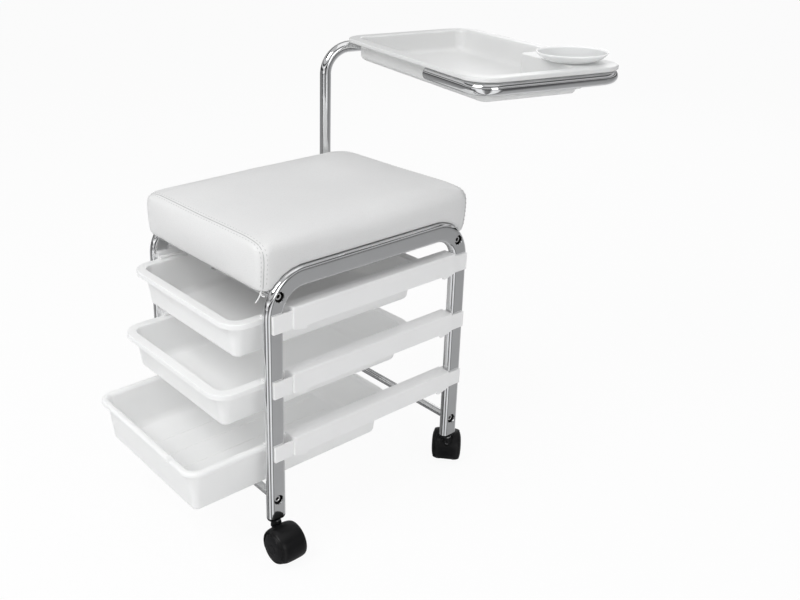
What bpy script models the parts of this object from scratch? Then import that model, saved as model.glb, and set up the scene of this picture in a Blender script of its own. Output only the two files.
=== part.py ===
"""Pedicure stool on casters: two bent side frames, three pull-out trays on
clip-on runners, a padded seat and a swing-out tool tray with a round bowl.

Origin on the floor under the middle of the whole outline seen from above. +Z
up, -Y is the front (the trays pull out towards -Y), +X is the right side. The
sizes below are millimetres, measured from the middle of the seat frame; the
last step moves everything by SEAT_MIDDLE, so that the origin is as above.
"""
import math

import bmesh
import bpy

MM = 0.001
SIDES = (("left", -1), ("right", 1))
ENDS = (("front", -1), ("rear", 1))
GAP = 0.3                        # usual clearance between fitted parts

# ---- main sizes ---------------------------------------------------------
SEAT_MIDDLE = (-49.91, -64.82)   # where the middle of the seat frame ends up

# side frames: an inverted U of rounded rectangular tube
FRAME_X = 158.3                  # outer faces, from the middle
FRAME_Y = 192.0                  # front and rear edges of the legs
TUBE_W, TUBE_T = 30.0, 15.0      # width in the frame's plane, thickness along X
TUBE_CORNER_R = 5.0
TUBE_WALL = 1.5
LEG_BOTTOM = 62.0
FRAME_TOP = 441.0
BEND_R = 50.0                    # centre line of the bends
BEND_OUTER_R = BEND_R + TUBE_W / 2
LEG_X, LEG_Y = FRAME_X - TUBE_T / 2, FRAME_Y - TUBE_W / 2    # centre of a leg
FRAME_INNER_X = FRAME_X - TUBE_T

# frame screws, and the cross members they hold
SCREW_UPPER = (170.0, 407.0)     # |y|, z
SCREW_LOWER = (LEG_Y, 91.4)
ACCESS_R = 6.0                   # access holes in the outer wall
SCREW_HOLE_R = 3.4
CROSS_END = FRAME_INNER_X - GAP
UPPER_TUBE_R, LOWER_BAR_R = 8.0, 6.0
UPPER_TUBE_Z = SCREW_UPPER[1] - 0.2
UPPER_TUBE_UNDERSIDE = UPPER_TUBE_Z - UPPER_TUBE_R

# level: runner bottom, runner pad top, tray rim's front edge, rim top, tray underside
TRAYS = {
    "top": (356.0, 383.0, -237.0, 373.0, 311.0),
    "middle": (258.0, 283.5, -261.0, 275.0, 213.0),
    "bottom": (157.0, 181.5, -311.0, 174.0, 101.0),
}
RIM_HALF_X, RIM_LENGTH = 138.5, 368.0
RIM_LIP = 8.0                    # depth of the rim's outer lip

# seat
CUSHION_BOTTOM = 415.3
BOARD_HALF_X, BOARD_HALF_Y, BOARD_T = 136.0, 182.0, 10.0

# tool-tray arm: a post beside the left rear leg, a bend, a flat loop
ARM_R, ARM_WALL = 9.5, 1.5
ARM_POST = (-171.0, 178.0)
ARM_TURN = 16.0                  # the loop's turn, degrees clockwise from above
ARM_Z = 657.0                    # centre line of the loop
ARM_FOOT = 190.0
POST_BEND_R, LOOP_BEND_R = 45.0, 30.0
# Centre lines in the loop's own axes: far x, far y, near y; x of the tube's end
LOOP_FAR_X, LOOP_FAR_Y, LOOP_NEAR_Y, LOOP_END_X = 412.0, 271.0, 43.0, 276.0

# tool tray and bowl, in the loop's own axes
TRAY_TOP, TRAY_BOTTOM = 673.4, 635.0
TRAY_SEAT = ARM_Z + ARM_R + 0.4  # the rim's underside, just over the loop
TRAY_OVERHANG = 9.0              # rim beyond the loop's centre line
TRAY_CORNER_R = 39.0
DECK_X, DECK_Y, DECK_Z = 262.0, 204.0, 672.8
DECK_CORNER_R = 14.0
BOWL_CENTRE, WELL_R = (354.0, 231.0), 25.0

# twin-wheel casters
WHEEL_R = 25.0
AXLE_Z = WHEEL_R
TRAIL = 21.0                     # from the stem to the axle
# leg: side sign, end sign, turn in degrees
CASTERS = {
    "front_right": (1, -1, 0.0),
    "rear_right": (1, 1, 132.0),
    "front_left": (-1, -1, 20.0),
    "rear_left": (-1, 1, 150.0),
}

# ---- materials ----------------------------------------------------------
SHARP_ANGLE = math.radians(38)   # edges above this stay sharp on smooth parts

# kind: base colour, roughness, metallic
FINISHES = {
    "chrome": ((0.62, 0.63, 0.64), 0.12, 1.0),
    "steel": ((0.55, 0.55, 0.55), 0.3, 1.0),
    "white_plastic": ((0.84, 0.84, 0.83), 0.32, 0.0),
    "clear_white": ((0.86, 0.87, 0.86), 0.22, 0.0),
    "vinyl": ((0.86, 0.86, 0.85), 0.42, 0.0),
    "black": ((0.012, 0.012, 0.013), 0.38, 0.0),
    "grey": ((0.42, 0.42, 0.43), 0.4, 0.0),
    "wood": ((0.10, 0.095, 0.09), 0.7, 0.0),
}


def part_material(part_name, kind):
    """Each part has its own material, in the finish of its kind."""
    colour, roughness, metallic = FINISHES[kind]
    material = bpy.data.materials.new("mat_" + part_name)
    material.use_nodes = True
    inputs = material.node_tree.nodes["Principled BSDF"].inputs
    inputs["Base Color"].default_value = (*colour, 1.0)
    inputs["Roughness"].default_value = roughness
    inputs["Metallic"].default_value = metallic
    material.diffuse_color = (*colour, 1.0)
    return material


# ---- outlines -----------------------------------------------------------
def cos_deg(angle):
    return math.cos(math.radians(angle))


def sin_deg(angle):
    return math.sin(math.radians(angle))


def circle(radius, count, centre=(0, 0), phase=0.0):
    """Points of a circle; phase turns it by a fraction of a step."""
    angles = [2 * math.pi * (k + phase) / count for k in range(count)]
    return [(centre[0] + radius * math.cos(a), centre[1] + radius * math.sin(a)) for a in angles]


def hexagon(apothem, count):
    """A hexagon sampled at the same angles as a circle of count points."""
    points = []
    for k in range(count):
        angle = 2 * math.pi * k / count
        from_flat = (angle + math.pi / 6) % (math.pi / 3) - math.pi / 6
        radius = apothem / math.cos(from_flat)
        points.append((radius * math.cos(angle), radius * math.sin(angle)))
    return points


def rounded(half_x, half_y, radius, segments):
    """Rounded rectangle, anticlockwise from its +X side."""
    inner_x, inner_y = half_x - radius, half_y - radius
    corners = ((inner_x, inner_y, 0), (-inner_x, inner_y, 90),
               (-inner_x, -inner_y, 180), (inner_x, -inner_y, 270))
    points = []
    for x, y, start in corners:
        for k in range(segments + 1):
            angle = start + 90.0 * k / segments
            points.append((x + radius * cos_deg(angle), y + radius * sin_deg(angle)))
    return points


def quarter_arc(centre, start_dir, end_dir, radius, segments):
    """3D points of a quarter circle from start_dir round to end_dir."""
    points = []
    for k in range(segments + 1):
        angle = 90.0 * k / segments
        points.append(tuple(
            centre[i] + radius * (cos_deg(angle) * start_dir[i] + sin_deg(angle) * end_dir[i])
            for i in range(3)))
    return points


# ---- solids: each is a pair of vertices and faces -----------------------
def loft(rings, around=False):
    """Skin over rings of equal length; capped at both ends, or closed around."""
    size = len(rings[0])
    verts = [point for ring in rings for point in ring]
    faces = []
    for k in range(len(rings) if around else len(rings) - 1):
        first, second = k * size, ((k + 1) % len(rings)) * size
        for i in range(size):
            j = (i + 1) % size
            faces.append((first + i, first + j, second + j, second + i))
    if not around:
        faces.append(tuple(range(size)))
        faces.append(tuple(range(len(verts) - size, len(verts))))
    return verts, faces


def extrude_x(outline, x0, x1):
    return loft([[(x, y, z) for y, z in outline] for x in (x0, x1)])


def extrude_y(outline, y0, y1):
    return loft([[(x, y, z) for x, z in outline] for y in (y0, y1)])


def extrude_z(outline, z0, z1):
    return loft([[(x, y, z) for x, y in outline] for z in (z0, z1)])


def box(x_range, y_range, z_range):
    (x0, x1), (y0, y1) = sorted(x_range), sorted(y_range)
    return extrude_z([(x0, y0), (x1, y0), (x1, y1), (x0, y1)], *z_range)


def lathe(profile, count, centre=(0, 0), around=False):
    """Rings of (radius, z) about a vertical axis."""
    return loft([[(x, y, z) for x, y in circle(radius, count, centre)]
                 for radius, z in profile], around)


def dish(profile, half_x, half_y, corner_r, centre, place=lambda point: point):
    """Rounded rectangular rings of (inset, z); place maps the points to the stool."""
    rings = []
    for inset, z in profile:
        outline = rounded(half_x - inset, half_y - inset, max(corner_r - inset, 7.0), 4)
        rings.append([place((centre[0] + x, centre[1] + y, z)) for x, y in outline])
    return loft(rings)


# ---- objects ------------------------------------------------------------
def make(name, solid, kind=None, origin=(0, 0, 0), smooth=True, parent=None):
    """Object from a solid in the stool's millimetres, with its own origin."""
    bm = bmesh.new()
    verts = [bm.verts.new([(point[i] - origin[i]) * MM for i in range(3)]) for point in solid[0]]
    for face in solid[1]:
        bm.faces.new([verts[i] for i in face])
    bmesh.ops.recalc_face_normals(bm, faces=bm.faces)
    for face in bm.faces:
        face.smooth = smooth
    mesh = bpy.data.meshes.new(name)
    bm.to_mesh(mesh)
    bm.free()
    obj = bpy.data.objects.new(name, mesh)
    obj.location = [value * MM for value in origin]
    bpy.context.scene.collection.objects.link(obj)
    if kind:
        mesh.materials.append(part_material(name, kind))
        if smooth:
            mesh.set_sharp_from_angle(angle=SHARP_ANGLE)
    if parent:
        obj.parent = parent
        obj.location = [origin[i] * MM - parent.location[i] for i in range(3)]
    return obj


def make_axis(name, x, y):
    """Empty on the floor at a vertical turning axis."""
    axis = bpy.data.objects.new(name, None)
    axis.location = (x * MM, y * MM, 0.0)
    bpy.context.scene.collection.objects.link(axis)
    return axis


def make_helper(name, solid):
    """Hidden cutter or joining block: it isn't a part of the stool."""
    obj = make(name, solid, smooth=False)
    obj.hide_render = True
    obj.display_type = "WIRE"
    obj.hide_set(True)
    return obj


def boolean(obj, other, operation):
    modifier = obj.modifiers.new(operation.lower() + "_" + other.name, "BOOLEAN")
    modifier.operation = operation
    modifier.object = other
    modifier.solver = "EXACT"


def cut(obj, name, solid):
    boolean(obj, make_helper(name, solid), "DIFFERENCE")


def join(obj, name, solid):
    boolean(obj, make_helper(name, solid), "UNION")


# ---- side frames --------------------------------------------------------
def frame_rings(side_sign, inset):
    """The tube's outline, inset, carried round the inverted U."""
    section = rounded(TUBE_W / 2 - inset, TUBE_T / 2 - inset, TUBE_CORNER_R - inset, 2)
    bend_segments = 7
    bend_z = FRAME_TOP - TUBE_W / 2 - BEND_R
    stations = [(-LEG_Y, LEG_BOTTOM, 0.0)]       # y, z, angle round the U
    for start, bend_y in ((0.0, -LEG_Y + BEND_R), (90.0, LEG_Y - BEND_R)):
        for k in range(bend_segments + 1):
            angle = start + 90.0 * k / bend_segments
            stations.append((bend_y - BEND_R * cos_deg(angle),
                             bend_z + BEND_R * sin_deg(angle), angle))
    stations.append((LEG_Y, LEG_BOTTOM, 180.0))
    return [[(side_sign * LEG_X + across, y - cos_deg(angle) * outward,
              z + sin_deg(angle) * outward) for outward, across in section]
            for y, z, angle in stations]


def side_frame(side, side_sign):
    name = "side_frame_" + side
    rings = frame_rings(side_sign, 0.0) + frame_rings(side_sign, TUBE_WALL)[::-1]
    frame = make(name, loft(rings, around=True), "chrome")
    # kind, radius, points round, x range: through the outer wall, the inner wall
    holes = (("access", ACCESS_R, 20, LEG_X, FRAME_X + 4),
             ("screw", SCREW_HOLE_R, 12, FRAME_INNER_X - 4, LEG_X))
    for end, end_sign in ENDS:
        for level, (y, z) in (("upper", SCREW_UPPER), ("lower", SCREW_LOWER)):
            for kind, radius, count, x0, x1 in holes:
                outline = circle(radius, count, (end_sign * y, z))
                cut(frame, f"cut_{name}_{kind}_{level}_{end}",
                    extrude_x(outline, side_sign * x0, side_sign * x1))


# ---- cross tubes and frame screws ---------------------------------------
def cross_tube(name, centre, radius, count):
    """Tube along X between the side frames, bored for the frame screws."""
    stations = ((radius, -CROSS_END), (radius, CROSS_END),
                (SCREW_HOLE_R, CROSS_END), (SCREW_HOLE_R, -CROSS_END))
    rings = [[(x, y, z) for y, z in circle(ring_r, count, centre)] for ring_r, x in stations]
    make(name, loft(rings, around=True), "chrome")


def frame_screw(name, side_sign, y, z):
    """Hex-socket screw, its head against the inside of the inner wall."""
    count = 12
    seat = FRAME_INNER_X + TUBE_WALL + 0.2
    stations = (
        (circle(2.9, count), seat - 17.0),
        (circle(2.9, count), seat),
        (circle(4.9, count), seat),
        (circle(4.9, count), seat + 4.2),
        (circle(4.2, count), seat + 5.0),
        (hexagon(2.5, count), seat + 5.0),
        (hexagon(2.5, count), seat + 2.2),
    )
    rings = [[(side_sign * x, y + dy, z + dz) for dy, dz in outline] for outline, x in stations]
    make(name, loft(rings), "chrome")


# ---- runners ------------------------------------------------------------
CHANNEL_IN_X, CHANNEL_OUT_X = 139.3, FRAME_INNER_X - GAP     # the channel's web
FLANGE_X = 131.5                 # inner edges of its flanges
FLANGE_T = 2.4
BAR_OUT_X = FRAME_X + 3.5
BAR_END = FRAME_Y - TUBE_W - 3.0         # the bars stop short of the legs
RUNNER_REACH = {"front": 184.0, "rear": FRAME_Y}     # |y| of the runner's ends


def runner(name, side_sign, bottom, top, rim_top):
    """Channel for a tray rim, clipped over the legs by a bar between them."""
    slot_low, slot_high = rim_top - RIM_LIP - 0.5, rim_top + 0.6
    channel = [
        (CHANNEL_OUT_X, bottom), (CHANNEL_OUT_X, top), (CHANNEL_IN_X, top),
        (CHANNEL_IN_X, slot_high + FLANGE_T), (FLANGE_X, slot_high + FLANGE_T),
        (FLANGE_X, slot_high), (CHANNEL_IN_X, slot_high),
        (CHANNEL_IN_X, slot_low), (FLANGE_X, slot_low),
        (FLANGE_X, slot_low - FLANGE_T), (CHANNEL_IN_X, slot_low - FLANGE_T),
        (CHANNEL_IN_X, bottom),
    ]
    obj = make(name, extrude_y([(side_sign * x, z) for x, z in channel],
                               -RUNNER_REACH["front"], RUNNER_REACH["rear"]),
               "white_plastic", smooth=False)

    # outer wall, top wall and a return over the channel
    bar = [
        (BAR_OUT_X, bottom + 2.0), (BAR_OUT_X, top + 3.6), (BAR_OUT_X - 1.4, top + 5.0),
        (CHANNEL_IN_X + 1.6, top + 5.0), (CHANNEL_IN_X + 0.4, top + 3.8),
        (CHANNEL_IN_X + 0.4, top - 4.0), (CHANNEL_OUT_X - 0.4, top - 4.0),
        (CHANNEL_OUT_X - 0.4, top + 2.2), (BAR_OUT_X - 3.0, top + 2.2),
        (BAR_OUT_X - 3.0, bottom + 2.0),
    ]
    join(obj, f"join_{name}_bar",
         extrude_y([(side_sign * x, z) for x, z in bar], -BAR_END, BAR_END))

    # kind, x range, |y| range (None: to the runner's end), z range
    blocks = (
        ("pad", (FRAME_X + GAP, FRAME_X + 2.7), (BAR_END - 4.0, None), (bottom, top)),
        ("wall", (CHANNEL_IN_X + 0.8, BAR_OUT_X - 0.8), (BAR_END - 2.8, BAR_END - 0.3),
         (bottom + 1.0, top + 4.2)),
        ("tab", (BAR_OUT_X - 2.6, BAR_OUT_X - 0.5), (BAR_END - 16.0, BAR_END - 0.6),
         (bottom - 1.5, bottom + 6.0)),
    )
    for kind, x_range, (y_near, y_far), z_range in blocks:
        for end, end_sign in ENDS:
            y_range = (end_sign * y_near, end_sign * (y_far or RUNNER_REACH[end]))
            join(obj, f"join_{name}_{kind}_{end}",
                 box([side_sign * x for x in x_range], y_range, z_range))


# ---- pull-out trays -----------------------------------------------------
# Profiles are (inset, z), from the underside out round the rim and down inside.
def flat_rim_profile(top, bottom):
    return [
        (28.5, bottom), (23.5, bottom + 1.4), (21.0, bottom + 5.5), (13.0, top - 2.4),
        (2.2, top - 2.4), (2.2, top - RIM_LIP), (0.0, top - RIM_LIP), (0.0, top - 1.4),
        (1.4, top), (14.0, top), (15.4, top - 1.4), (23.4, bottom + 7.5),
        (26.0, bottom + 3.6), (30.5, bottom + 2.3),
    ]


def rolled_rim_profile(top, bottom):
    return [
        (22.5, bottom), (18.0, bottom + 1.2), (16.0, bottom + 5.0), (9.4, top - RIM_LIP + 0.4),
        (1.6, top - RIM_LIP), (0.0, top - RIM_LIP + 1.8), (0.0, top - 2.6), (2.2, top - 0.4),
        (5.0, top), (8.6, top - 0.6), (11.6, top - 4.0), (18.4, bottom + 7.5),
        (20.6, bottom + 3.8), (25.0, bottom + 2.5),
    ]


def pull_out_tray(level, front, top, bottom):
    if level == "bottom":
        profile, corner_r = rolled_rim_profile(top, bottom), 25.0
    else:
        profile, corner_r = flat_rim_profile(top, bottom), 32.0
    half_y = RIM_LENGTH / 2
    y = front + half_y
    make("pull_out_tray_" + level, dish(profile, RIM_HALF_X, half_y, corner_r, (0.0, y)),
         "white_plastic", origin=(0.0, y, top))


# ---- seat ---------------------------------------------------------------
BOARD_GAP = 0.4                  # between the board and its recess
FRAME_GAP = 0.7                  # between the cushion and the side frames


def seat_cushion():
    bottom = CUSHION_BOTTOM
    recess_x, recess_y = BOARD_HALF_X + BOARD_GAP, BOARD_HALF_Y + BOARD_GAP
    # half x, half y, z, corner radius: the recess, then up the outside
    stations = [
        (recess_x, recess_y, bottom + BOARD_T + BOARD_GAP, 10.0),
        (recess_x, recess_y, bottom, 10.0),
        (150.5, 193.0, bottom, 14.0), (153.5, 196.0, bottom + 3.0, 17.0),
        (155.0, 198.0, 441.6, 20.0), (156.5, 198.6, 447.0, 21.0),
        (157.5, 199.0, 458.0, 22.0), (156.5, 199.0, 470.0, 22.0),
        (151.5, 198.0, 479.0, 24.0), (141.0, 195.0, 485.0, 26.0),
        (120.0, 182.0, 489.0, 32.0), (74.0, 130.0, 491.4, 40.0),
    ]
    rings = [[(x, y, z) for x, y in rounded(half_x, half_y, radius, 4)]
             for half_x, half_y, z, radius in stations]
    cushion = make("seat_cushion", loft(rings), "vinyl")

    # the edges are cut away where the side frames pass, following their bends
    bend_y, bend_z = FRAME_Y - BEND_OUTER_R, FRAME_TOP - BEND_OUTER_R
    radius = BEND_OUTER_R + FRAME_GAP
    front_half = [(-bend_y - radius, 380.0)]
    for angle in range(18, 91, 12):
        front_half.append((-bend_y - radius * cos_deg(angle), bend_z + radius * sin_deg(angle)))
    outline = front_half + [(-y, z) for y, z in front_half[::-1]]
    for side, side_sign in SIDES:
        cut(cushion, "cut_cushion_" + side,
            extrude_x(outline, side_sign * (FRAME_INNER_X - FRAME_GAP), side_sign * 178.0))


def seat_board():
    make("seat_board", extrude_z(rounded(BOARD_HALF_X, BOARD_HALF_Y, 9.6, 3),
                                 CUSHION_BOTTOM, CUSHION_BOTTOM + BOARD_T),
         "wood", smooth=False)


def board_screw(end, y):
    """Pan-head screw up through an upper cross tube into the seat board."""
    z = UPPER_TUBE_UNDERSIDE
    profile = [(3.6, z - 3.4), (4.8, z - 2.4), (4.8, z - 0.2), (2.0, z - 0.2),
               (2.0, CUSHION_BOTTOM + 7.0), (0.8, CUSHION_BOTTOM + 8.0)]
    make("seat_board_screw_" + end, lathe(profile, 12, (0, y)), "chrome")
    hole = make_helper("cut_board_screw_" + end,
                       lathe([(2.4, z - 6.0), (2.4, CUSHION_BOTTOM + 8.4)], 12, (0, y)))
    for target in ("upper_cross_tube_" + end, "seat_board"):
        boolean(bpy.data.objects[target], hole, "DIFFERENCE")


# ---- tool-tray arm ------------------------------------------------------
ARM_ORIGIN = (*ARM_POST, 0.0)
CLIPS = {"upper": (385.0, 399.0), "lower": (205.0, 227.0)}       # bottom, top


def swing(point):
    """From the loop's own axes, centred on the post, to the stool's."""
    x, y, z = point
    turn_cos, turn_sin = cos_deg(ARM_TURN), sin_deg(ARM_TURN)
    return (ARM_POST[0] + x * turn_cos + y * turn_sin,
            ARM_POST[1] - x * turn_sin + y * turn_cos, z)


def arm_path():
    """Centre line up the post, over its bend and round the loop."""
    left, right, back, front = (-1, 0, 0), (1, 0, 0), (0, 1, 0), (0, -1, 0)
    path = [(0, 0, ARM_FOOT)]
    path += quarter_arc((0, POST_BEND_R, ARM_Z - POST_BEND_R), front, (0, 0, 1), POST_BEND_R, 6)
    radius = LOOP_BEND_R
    for x, y, start_dir, end_dir in (
            (radius, LOOP_FAR_Y - radius, left, back),
            (LOOP_FAR_X - radius, LOOP_FAR_Y - radius, back, right),
            (LOOP_FAR_X - radius, LOOP_NEAR_Y + radius, right, front)):
        path += quarter_arc((x, y, ARM_Z), start_dir, end_dir, radius, 4)
    path.append((LOOP_END_X, LOOP_NEAR_Y, ARM_Z))
    return path


def tangents(path):
    result = []
    for i in range(len(path)):
        before, after = path[max(i - 1, 0)], path[min(i + 1, len(path) - 1)]
        step = [after[k] - before[k] for k in range(3)]
        length = math.sqrt(sum(value * value for value in step))
        result.append([value / length for value in step])
    return result


def tube_rings(path, radius):
    """Circles square to the path: the post and its bend, then the flat loop."""
    rings = []
    for point, (tx, ty, tz) in zip(path, tangents(path)):
        ux, uy, uz = (1.0, 0.0, 0.0) if abs(tz) > 1e-6 else (ty, -tx, 0.0)
        side = (ux, uy, uz)
        normal = (ty * uz - tz * uy, tz * ux - tx * uz, tx * uy - ty * ux)
        rings.append([swing([point[i] + a * side[i] + b * normal[i] for i in range(3)])
                      for a, b in circle(radius, 12)])
    return rings


def arm_tube(axis):
    path = arm_path()
    rings = tube_rings(path, ARM_R) + tube_rings(path, ARM_R - ARM_WALL)[::-1]
    make("tray_arm_tube", loft(rings, around=True), "chrome", origin=ARM_ORIGIN, parent=axis)


def arm_end_cap(axis):
    """Plug in the loop's end: a spigot and a domed disc."""
    end = LOOP_END_X
    profile = ((7.5, end + 12.0), (7.5, end - GAP), (9.4, end - GAP),    # radius, x
               (9.4, end - 1.6), (7.6, end - 2.9), (3.5, end - 3.4))
    rings = [[swing((x, y, z)) for y, z in circle(radius, 14, (LOOP_NEAR_Y, ARM_Z))]
             for radius, x in profile]
    make("tray_arm_end_cap", loft(rings), "grey", origin=ARM_ORIGIN, parent=axis)


def arm_foot_plug(axis):
    foot = ARM_FOOT
    profile = [(5.0, foot - 5.0), (8.4, foot - 4.2), (9.4, foot - 2.6),
               (9.4, foot - GAP), (7.5, foot - GAP), (7.5, foot + 14.0)]
    make("tray_arm_foot_plug", lathe(profile, 14, ARM_POST), "black",
         origin=ARM_ORIGIN, parent=axis)


def arm_stop_collar(axis):
    """Collar round the post, just over the lower clip."""
    clip_top = CLIPS["lower"][1]
    profile = [(12.2, clip_top + 0.4), (12.2, clip_top + 8.0), (11.4, clip_top + 9.0),
               (9.8, clip_top + 9.0), (9.8, clip_top + 0.4)]
    make("tray_arm_stop_collar", lathe(profile, 20, ARM_POST, around=True), "black",
         origin=ARM_ORIGIN, parent=axis)


def arm_clip(level, bottom, top):
    """Clip round the post: a block towards the leg's face, rounded beyond."""
    count = 24
    half_y, corner_reach = 13.0, 16.0
    leg_side = -FRAME_X - GAP - ARM_POST[0]      # flat face, from the post's axis
    outside = []
    for k in range(count):
        angle = 2 * math.pi * k / count
        dx, dy = math.cos(angle), math.sin(angle)
        radius = half_y
        if dx > 0:
            radius = min(leg_side / dx, half_y / max(abs(dy), 1e-9), corner_reach)
        outside.append((ARM_POST[0] + radius * dx, ARM_POST[1] + radius * dy))
    inside = circle(ARM_R + 0.35, count, ARM_POST)
    stations = ((outside, bottom), (outside, top), (inside, top), (inside, bottom))
    rings = [[(x, y, z) for x, y in outline] for outline, z in stations]
    make("tray_arm_clip_" + level, loft(rings, around=True), "chrome")


# ---- tool tray and bowl -------------------------------------------------
QUARTER_ANGLES = (0, 22.5, 45, 67.5, 90)


def deck_near_edge(inset, x_end, y_end):
    """The deck's two near sides and the rounded corner between them."""
    radius = DECK_CORNER_R - inset
    x0, y0 = DECK_X + inset, DECK_Y + inset
    corner = [(x0 + radius - radius * sin_deg(angle), y0 + radius - radius * cos_deg(angle))
              for angle in QUARTER_ANGLES]
    return [(x_end, y0)] + corner + [(x0, y_end)]


def deck_ring(inset, z):
    """Deck outline whose far sides lie inset from the tray's rim."""
    x_far, y_far = LOOP_FAR_X + TRAY_OVERHANG - inset, LOOP_FAR_Y + TRAY_OVERHANG - inset
    radius = TRAY_CORNER_R - inset
    far = [(x_far - radius + radius * cos_deg(angle), y_far - radius + radius * sin_deg(angle))
           for angle in QUARTER_ANGLES[::-1]]
    return [swing((x, y, z)) for x, y in deck_near_edge(0.0, x_far, y_far) + far]


def tool_tray():
    # (inset, z), from the underside out round the rim and down inside
    profile = [
        (29.0, TRAY_BOTTOM), (23.5, TRAY_BOTTOM + 1.6), (20.6, TRAY_BOTTOM + 6.5),
        (19.6, TRAY_SEAT), (1.4, TRAY_SEAT), (0.0, TRAY_SEAT + 1.4), (0.0, TRAY_TOP - 1.8),
        (1.8, TRAY_TOP), (18.6, TRAY_TOP), (21.4, TRAY_TOP - 1.8), (23.2, TRAY_BOTTOM + 8.5),
        (26.2, TRAY_BOTTOM + 4.2), (32.0, TRAY_BOTTOM + 2.6),
    ]
    half_x = (LOOP_FAR_X + 2 * TRAY_OVERHANG) / 2
    half_y = (LOOP_FAR_Y - LOOP_NEAR_Y + 2 * TRAY_OVERHANG) / 2
    centre = (LOOP_FAR_X / 2, (LOOP_FAR_Y + LOOP_NEAR_Y) / 2)
    tray = make("tool_tray", dish(profile, half_x, half_y, TRAY_CORNER_R, centre, swing),
                "white_plastic", origin=(*swing((*centre, 0))[:2], TRAY_TOP))

    # raised corner deck, closed against the tray's far walls
    deck = loft([deck_ring(25.5, TRAY_BOTTOM + 1.8), deck_ring(22.2, TRAY_BOTTOM + 7.5),
                 deck_ring(20.9, TRAY_SEAT + 0.6), deck_ring(19.2, DECK_Z)])
    join(tray, "join_tool_tray_deck", deck)

    # the deck is hollow from below, and open for the bowl
    x_clear, y_clear = LOOP_FAR_X + 30, LOOP_FAR_Y + 30
    hollow = deck_near_edge(2.6, x_clear, y_clear) + [(x_clear, y_clear)]
    cut(tray, "cut_tool_tray_under",
        loft([[swing((x, y, z)) for x, y in hollow]
              for z in (TRAY_BOTTOM - 12, TRAY_SEAT - 0.5)]))
    cut(tray, "cut_tool_tray_well",
        lathe([(WELL_R, TRAY_BOTTOM - 12), (WELL_R, TRAY_TOP + 12)], 28,
              swing((*BOWL_CENTRE, 0))[:2]))


def tool_bowl():
    """Bowl hanging in the deck's well, with a wide flared brim."""
    # radius, z: up the outside, over the brim and down inside
    profile = [
        (14.0, 634.4), (18.6, 635.6), (21.2, 639.4), (22.4, 648.0), (24.2, DECK_Z + 0.4),
        (28.6, DECK_Z + 0.4), (36.0, 675.3), (43.5, 679.0), (48.4, 683.4), (50.2, 686.4),
        (48.4, 687.0), (46.4, 684.2), (42.0, 680.7), (34.8, 677.2), (26.6, 675.2),
        (23.0, 671.0), (21.0, 660.0), (19.6, 643.0), (17.0, 638.6), (12.0, 637.0),
    ]
    centre = swing((*BOWL_CENTRE, 0))[:2]
    make("tool_bowl", lathe(profile, 22, centre), "clear_white", origin=(*centre, DECK_Z))


# ---- casters ------------------------------------------------------------
def leg_end_plug(tag, x, y):
    """Plug in the leg's open end, with a socket for the caster's stem."""
    shoulder = LEG_BOTTOM - GAP
    # half y, half x, z, corner radius: the flange, then the spigot
    stations = [
        (11.5, 5.2, 56.0, 3.6), (14.0, 6.9, 58.0, 4.4),
        (TUBE_W / 2, TUBE_T / 2, 60.4, TUBE_CORNER_R),
        (TUBE_W / 2, TUBE_T / 2, shoulder, TUBE_CORNER_R),
        (13.2, 5.7, shoulder, 3.2), (13.2, 5.7, 82.0, 3.2),
    ]
    rings = [[(x + dx, y + dy, z) for dy, dx in rounded(half_y, half_x, radius, 2)]
             for half_y, half_x, z, radius in stations]
    plug = make("leg_end_plug_" + tag, loft(rings), "black")
    cut(plug, "cut_leg_end_plug_" + tag, lathe([(4.3, 50.0), (4.3, 79.0)], 16, (x, y)))


def caster(tag, stem_x, stem_y, angle):
    """Caster whose axle lies TRAIL from the stem, at angle from +X."""
    def place(x, y, z):
        return (stem_x + x * cos_deg(angle) - y * sin_deg(angle),
                stem_y + x * sin_deg(angle) + y * cos_deg(angle), z)

    def across(stations):
        """Solid through (x, z) outlines at distances along the axle."""
        return loft([[place(x, y, z) for x, z in outline] for outline, y in stations])

    axis = make_axis(f"caster_axis_{tag}", stem_x, stem_y)
    caster_stem(tag, (stem_x, stem_y), axis)
    caster_hood(tag, (stem_x, stem_y), axis, across)
    axle_centre = place(TRAIL, 0, AXLE_Z)
    caster_axle(tag, axle_centre, axis, across)
    for side, side_sign in (("a", -1), ("b", 1)):
        caster_wheel(f"{side}_{tag}", side_sign, axle_centre, axis, across)


def caster_stem(tag, centre, axis):
    profile = [(3.95, 40.0), (3.95, 53.8), (6.6, 53.8), (6.6, 55.6),
               (3.95, 55.6), (3.95, 74.0), (3.0, 75.5)]
    make(f"caster_stem_{tag}", lathe(profile, 14, centre), "chrome",
         origin=(*centre, 0.0), parent=axis)


def hood_arc(radius, start, sweep):
    """Points about the axle as (x, z)."""
    segments = 13
    angles = [start + sweep * k / segments for k in range(segments + 1)]
    return [(TRAIL + radius * cos_deg(angle), AXLE_Z + radius * sin_deg(angle))
            for angle in angles]


def caster_hood(tag, centre, axis, across):
    """A web between the wheels, a shell over their treads, a neck."""
    web = hood_arc(WHEEL_R + 1.8, -38, 256)
    hood = make(f"caster_hood_{tag}", across([(web, -5.8), (web, 5.8)]), "black",
                origin=(*centre, 0.0), parent=axis)
    shell = hood_arc(WHEEL_R + 2.8, -38, 256) + hood_arc(WHEEL_R + 0.9, 218, -256)
    join(hood, f"join_hood_shell_{tag}", across([(shell, -18.0), (shell, 18.0)]))
    join(hood, f"join_hood_neck_{tag}",
         lathe([(8.2, 44.0), (7.4, 51.6), (6.6, 53.4)], 16, centre))
    cut(hood, f"cut_hood_stem_{tag}", lathe([(4.3, 38.0), (4.3, 60.0)], 14, centre))
    bore = circle(2.8, 12, (TRAIL, AXLE_Z))
    cut(hood, f"cut_hood_axle_{tag}", across([(bore, -30), (bore, 30)]))


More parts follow.
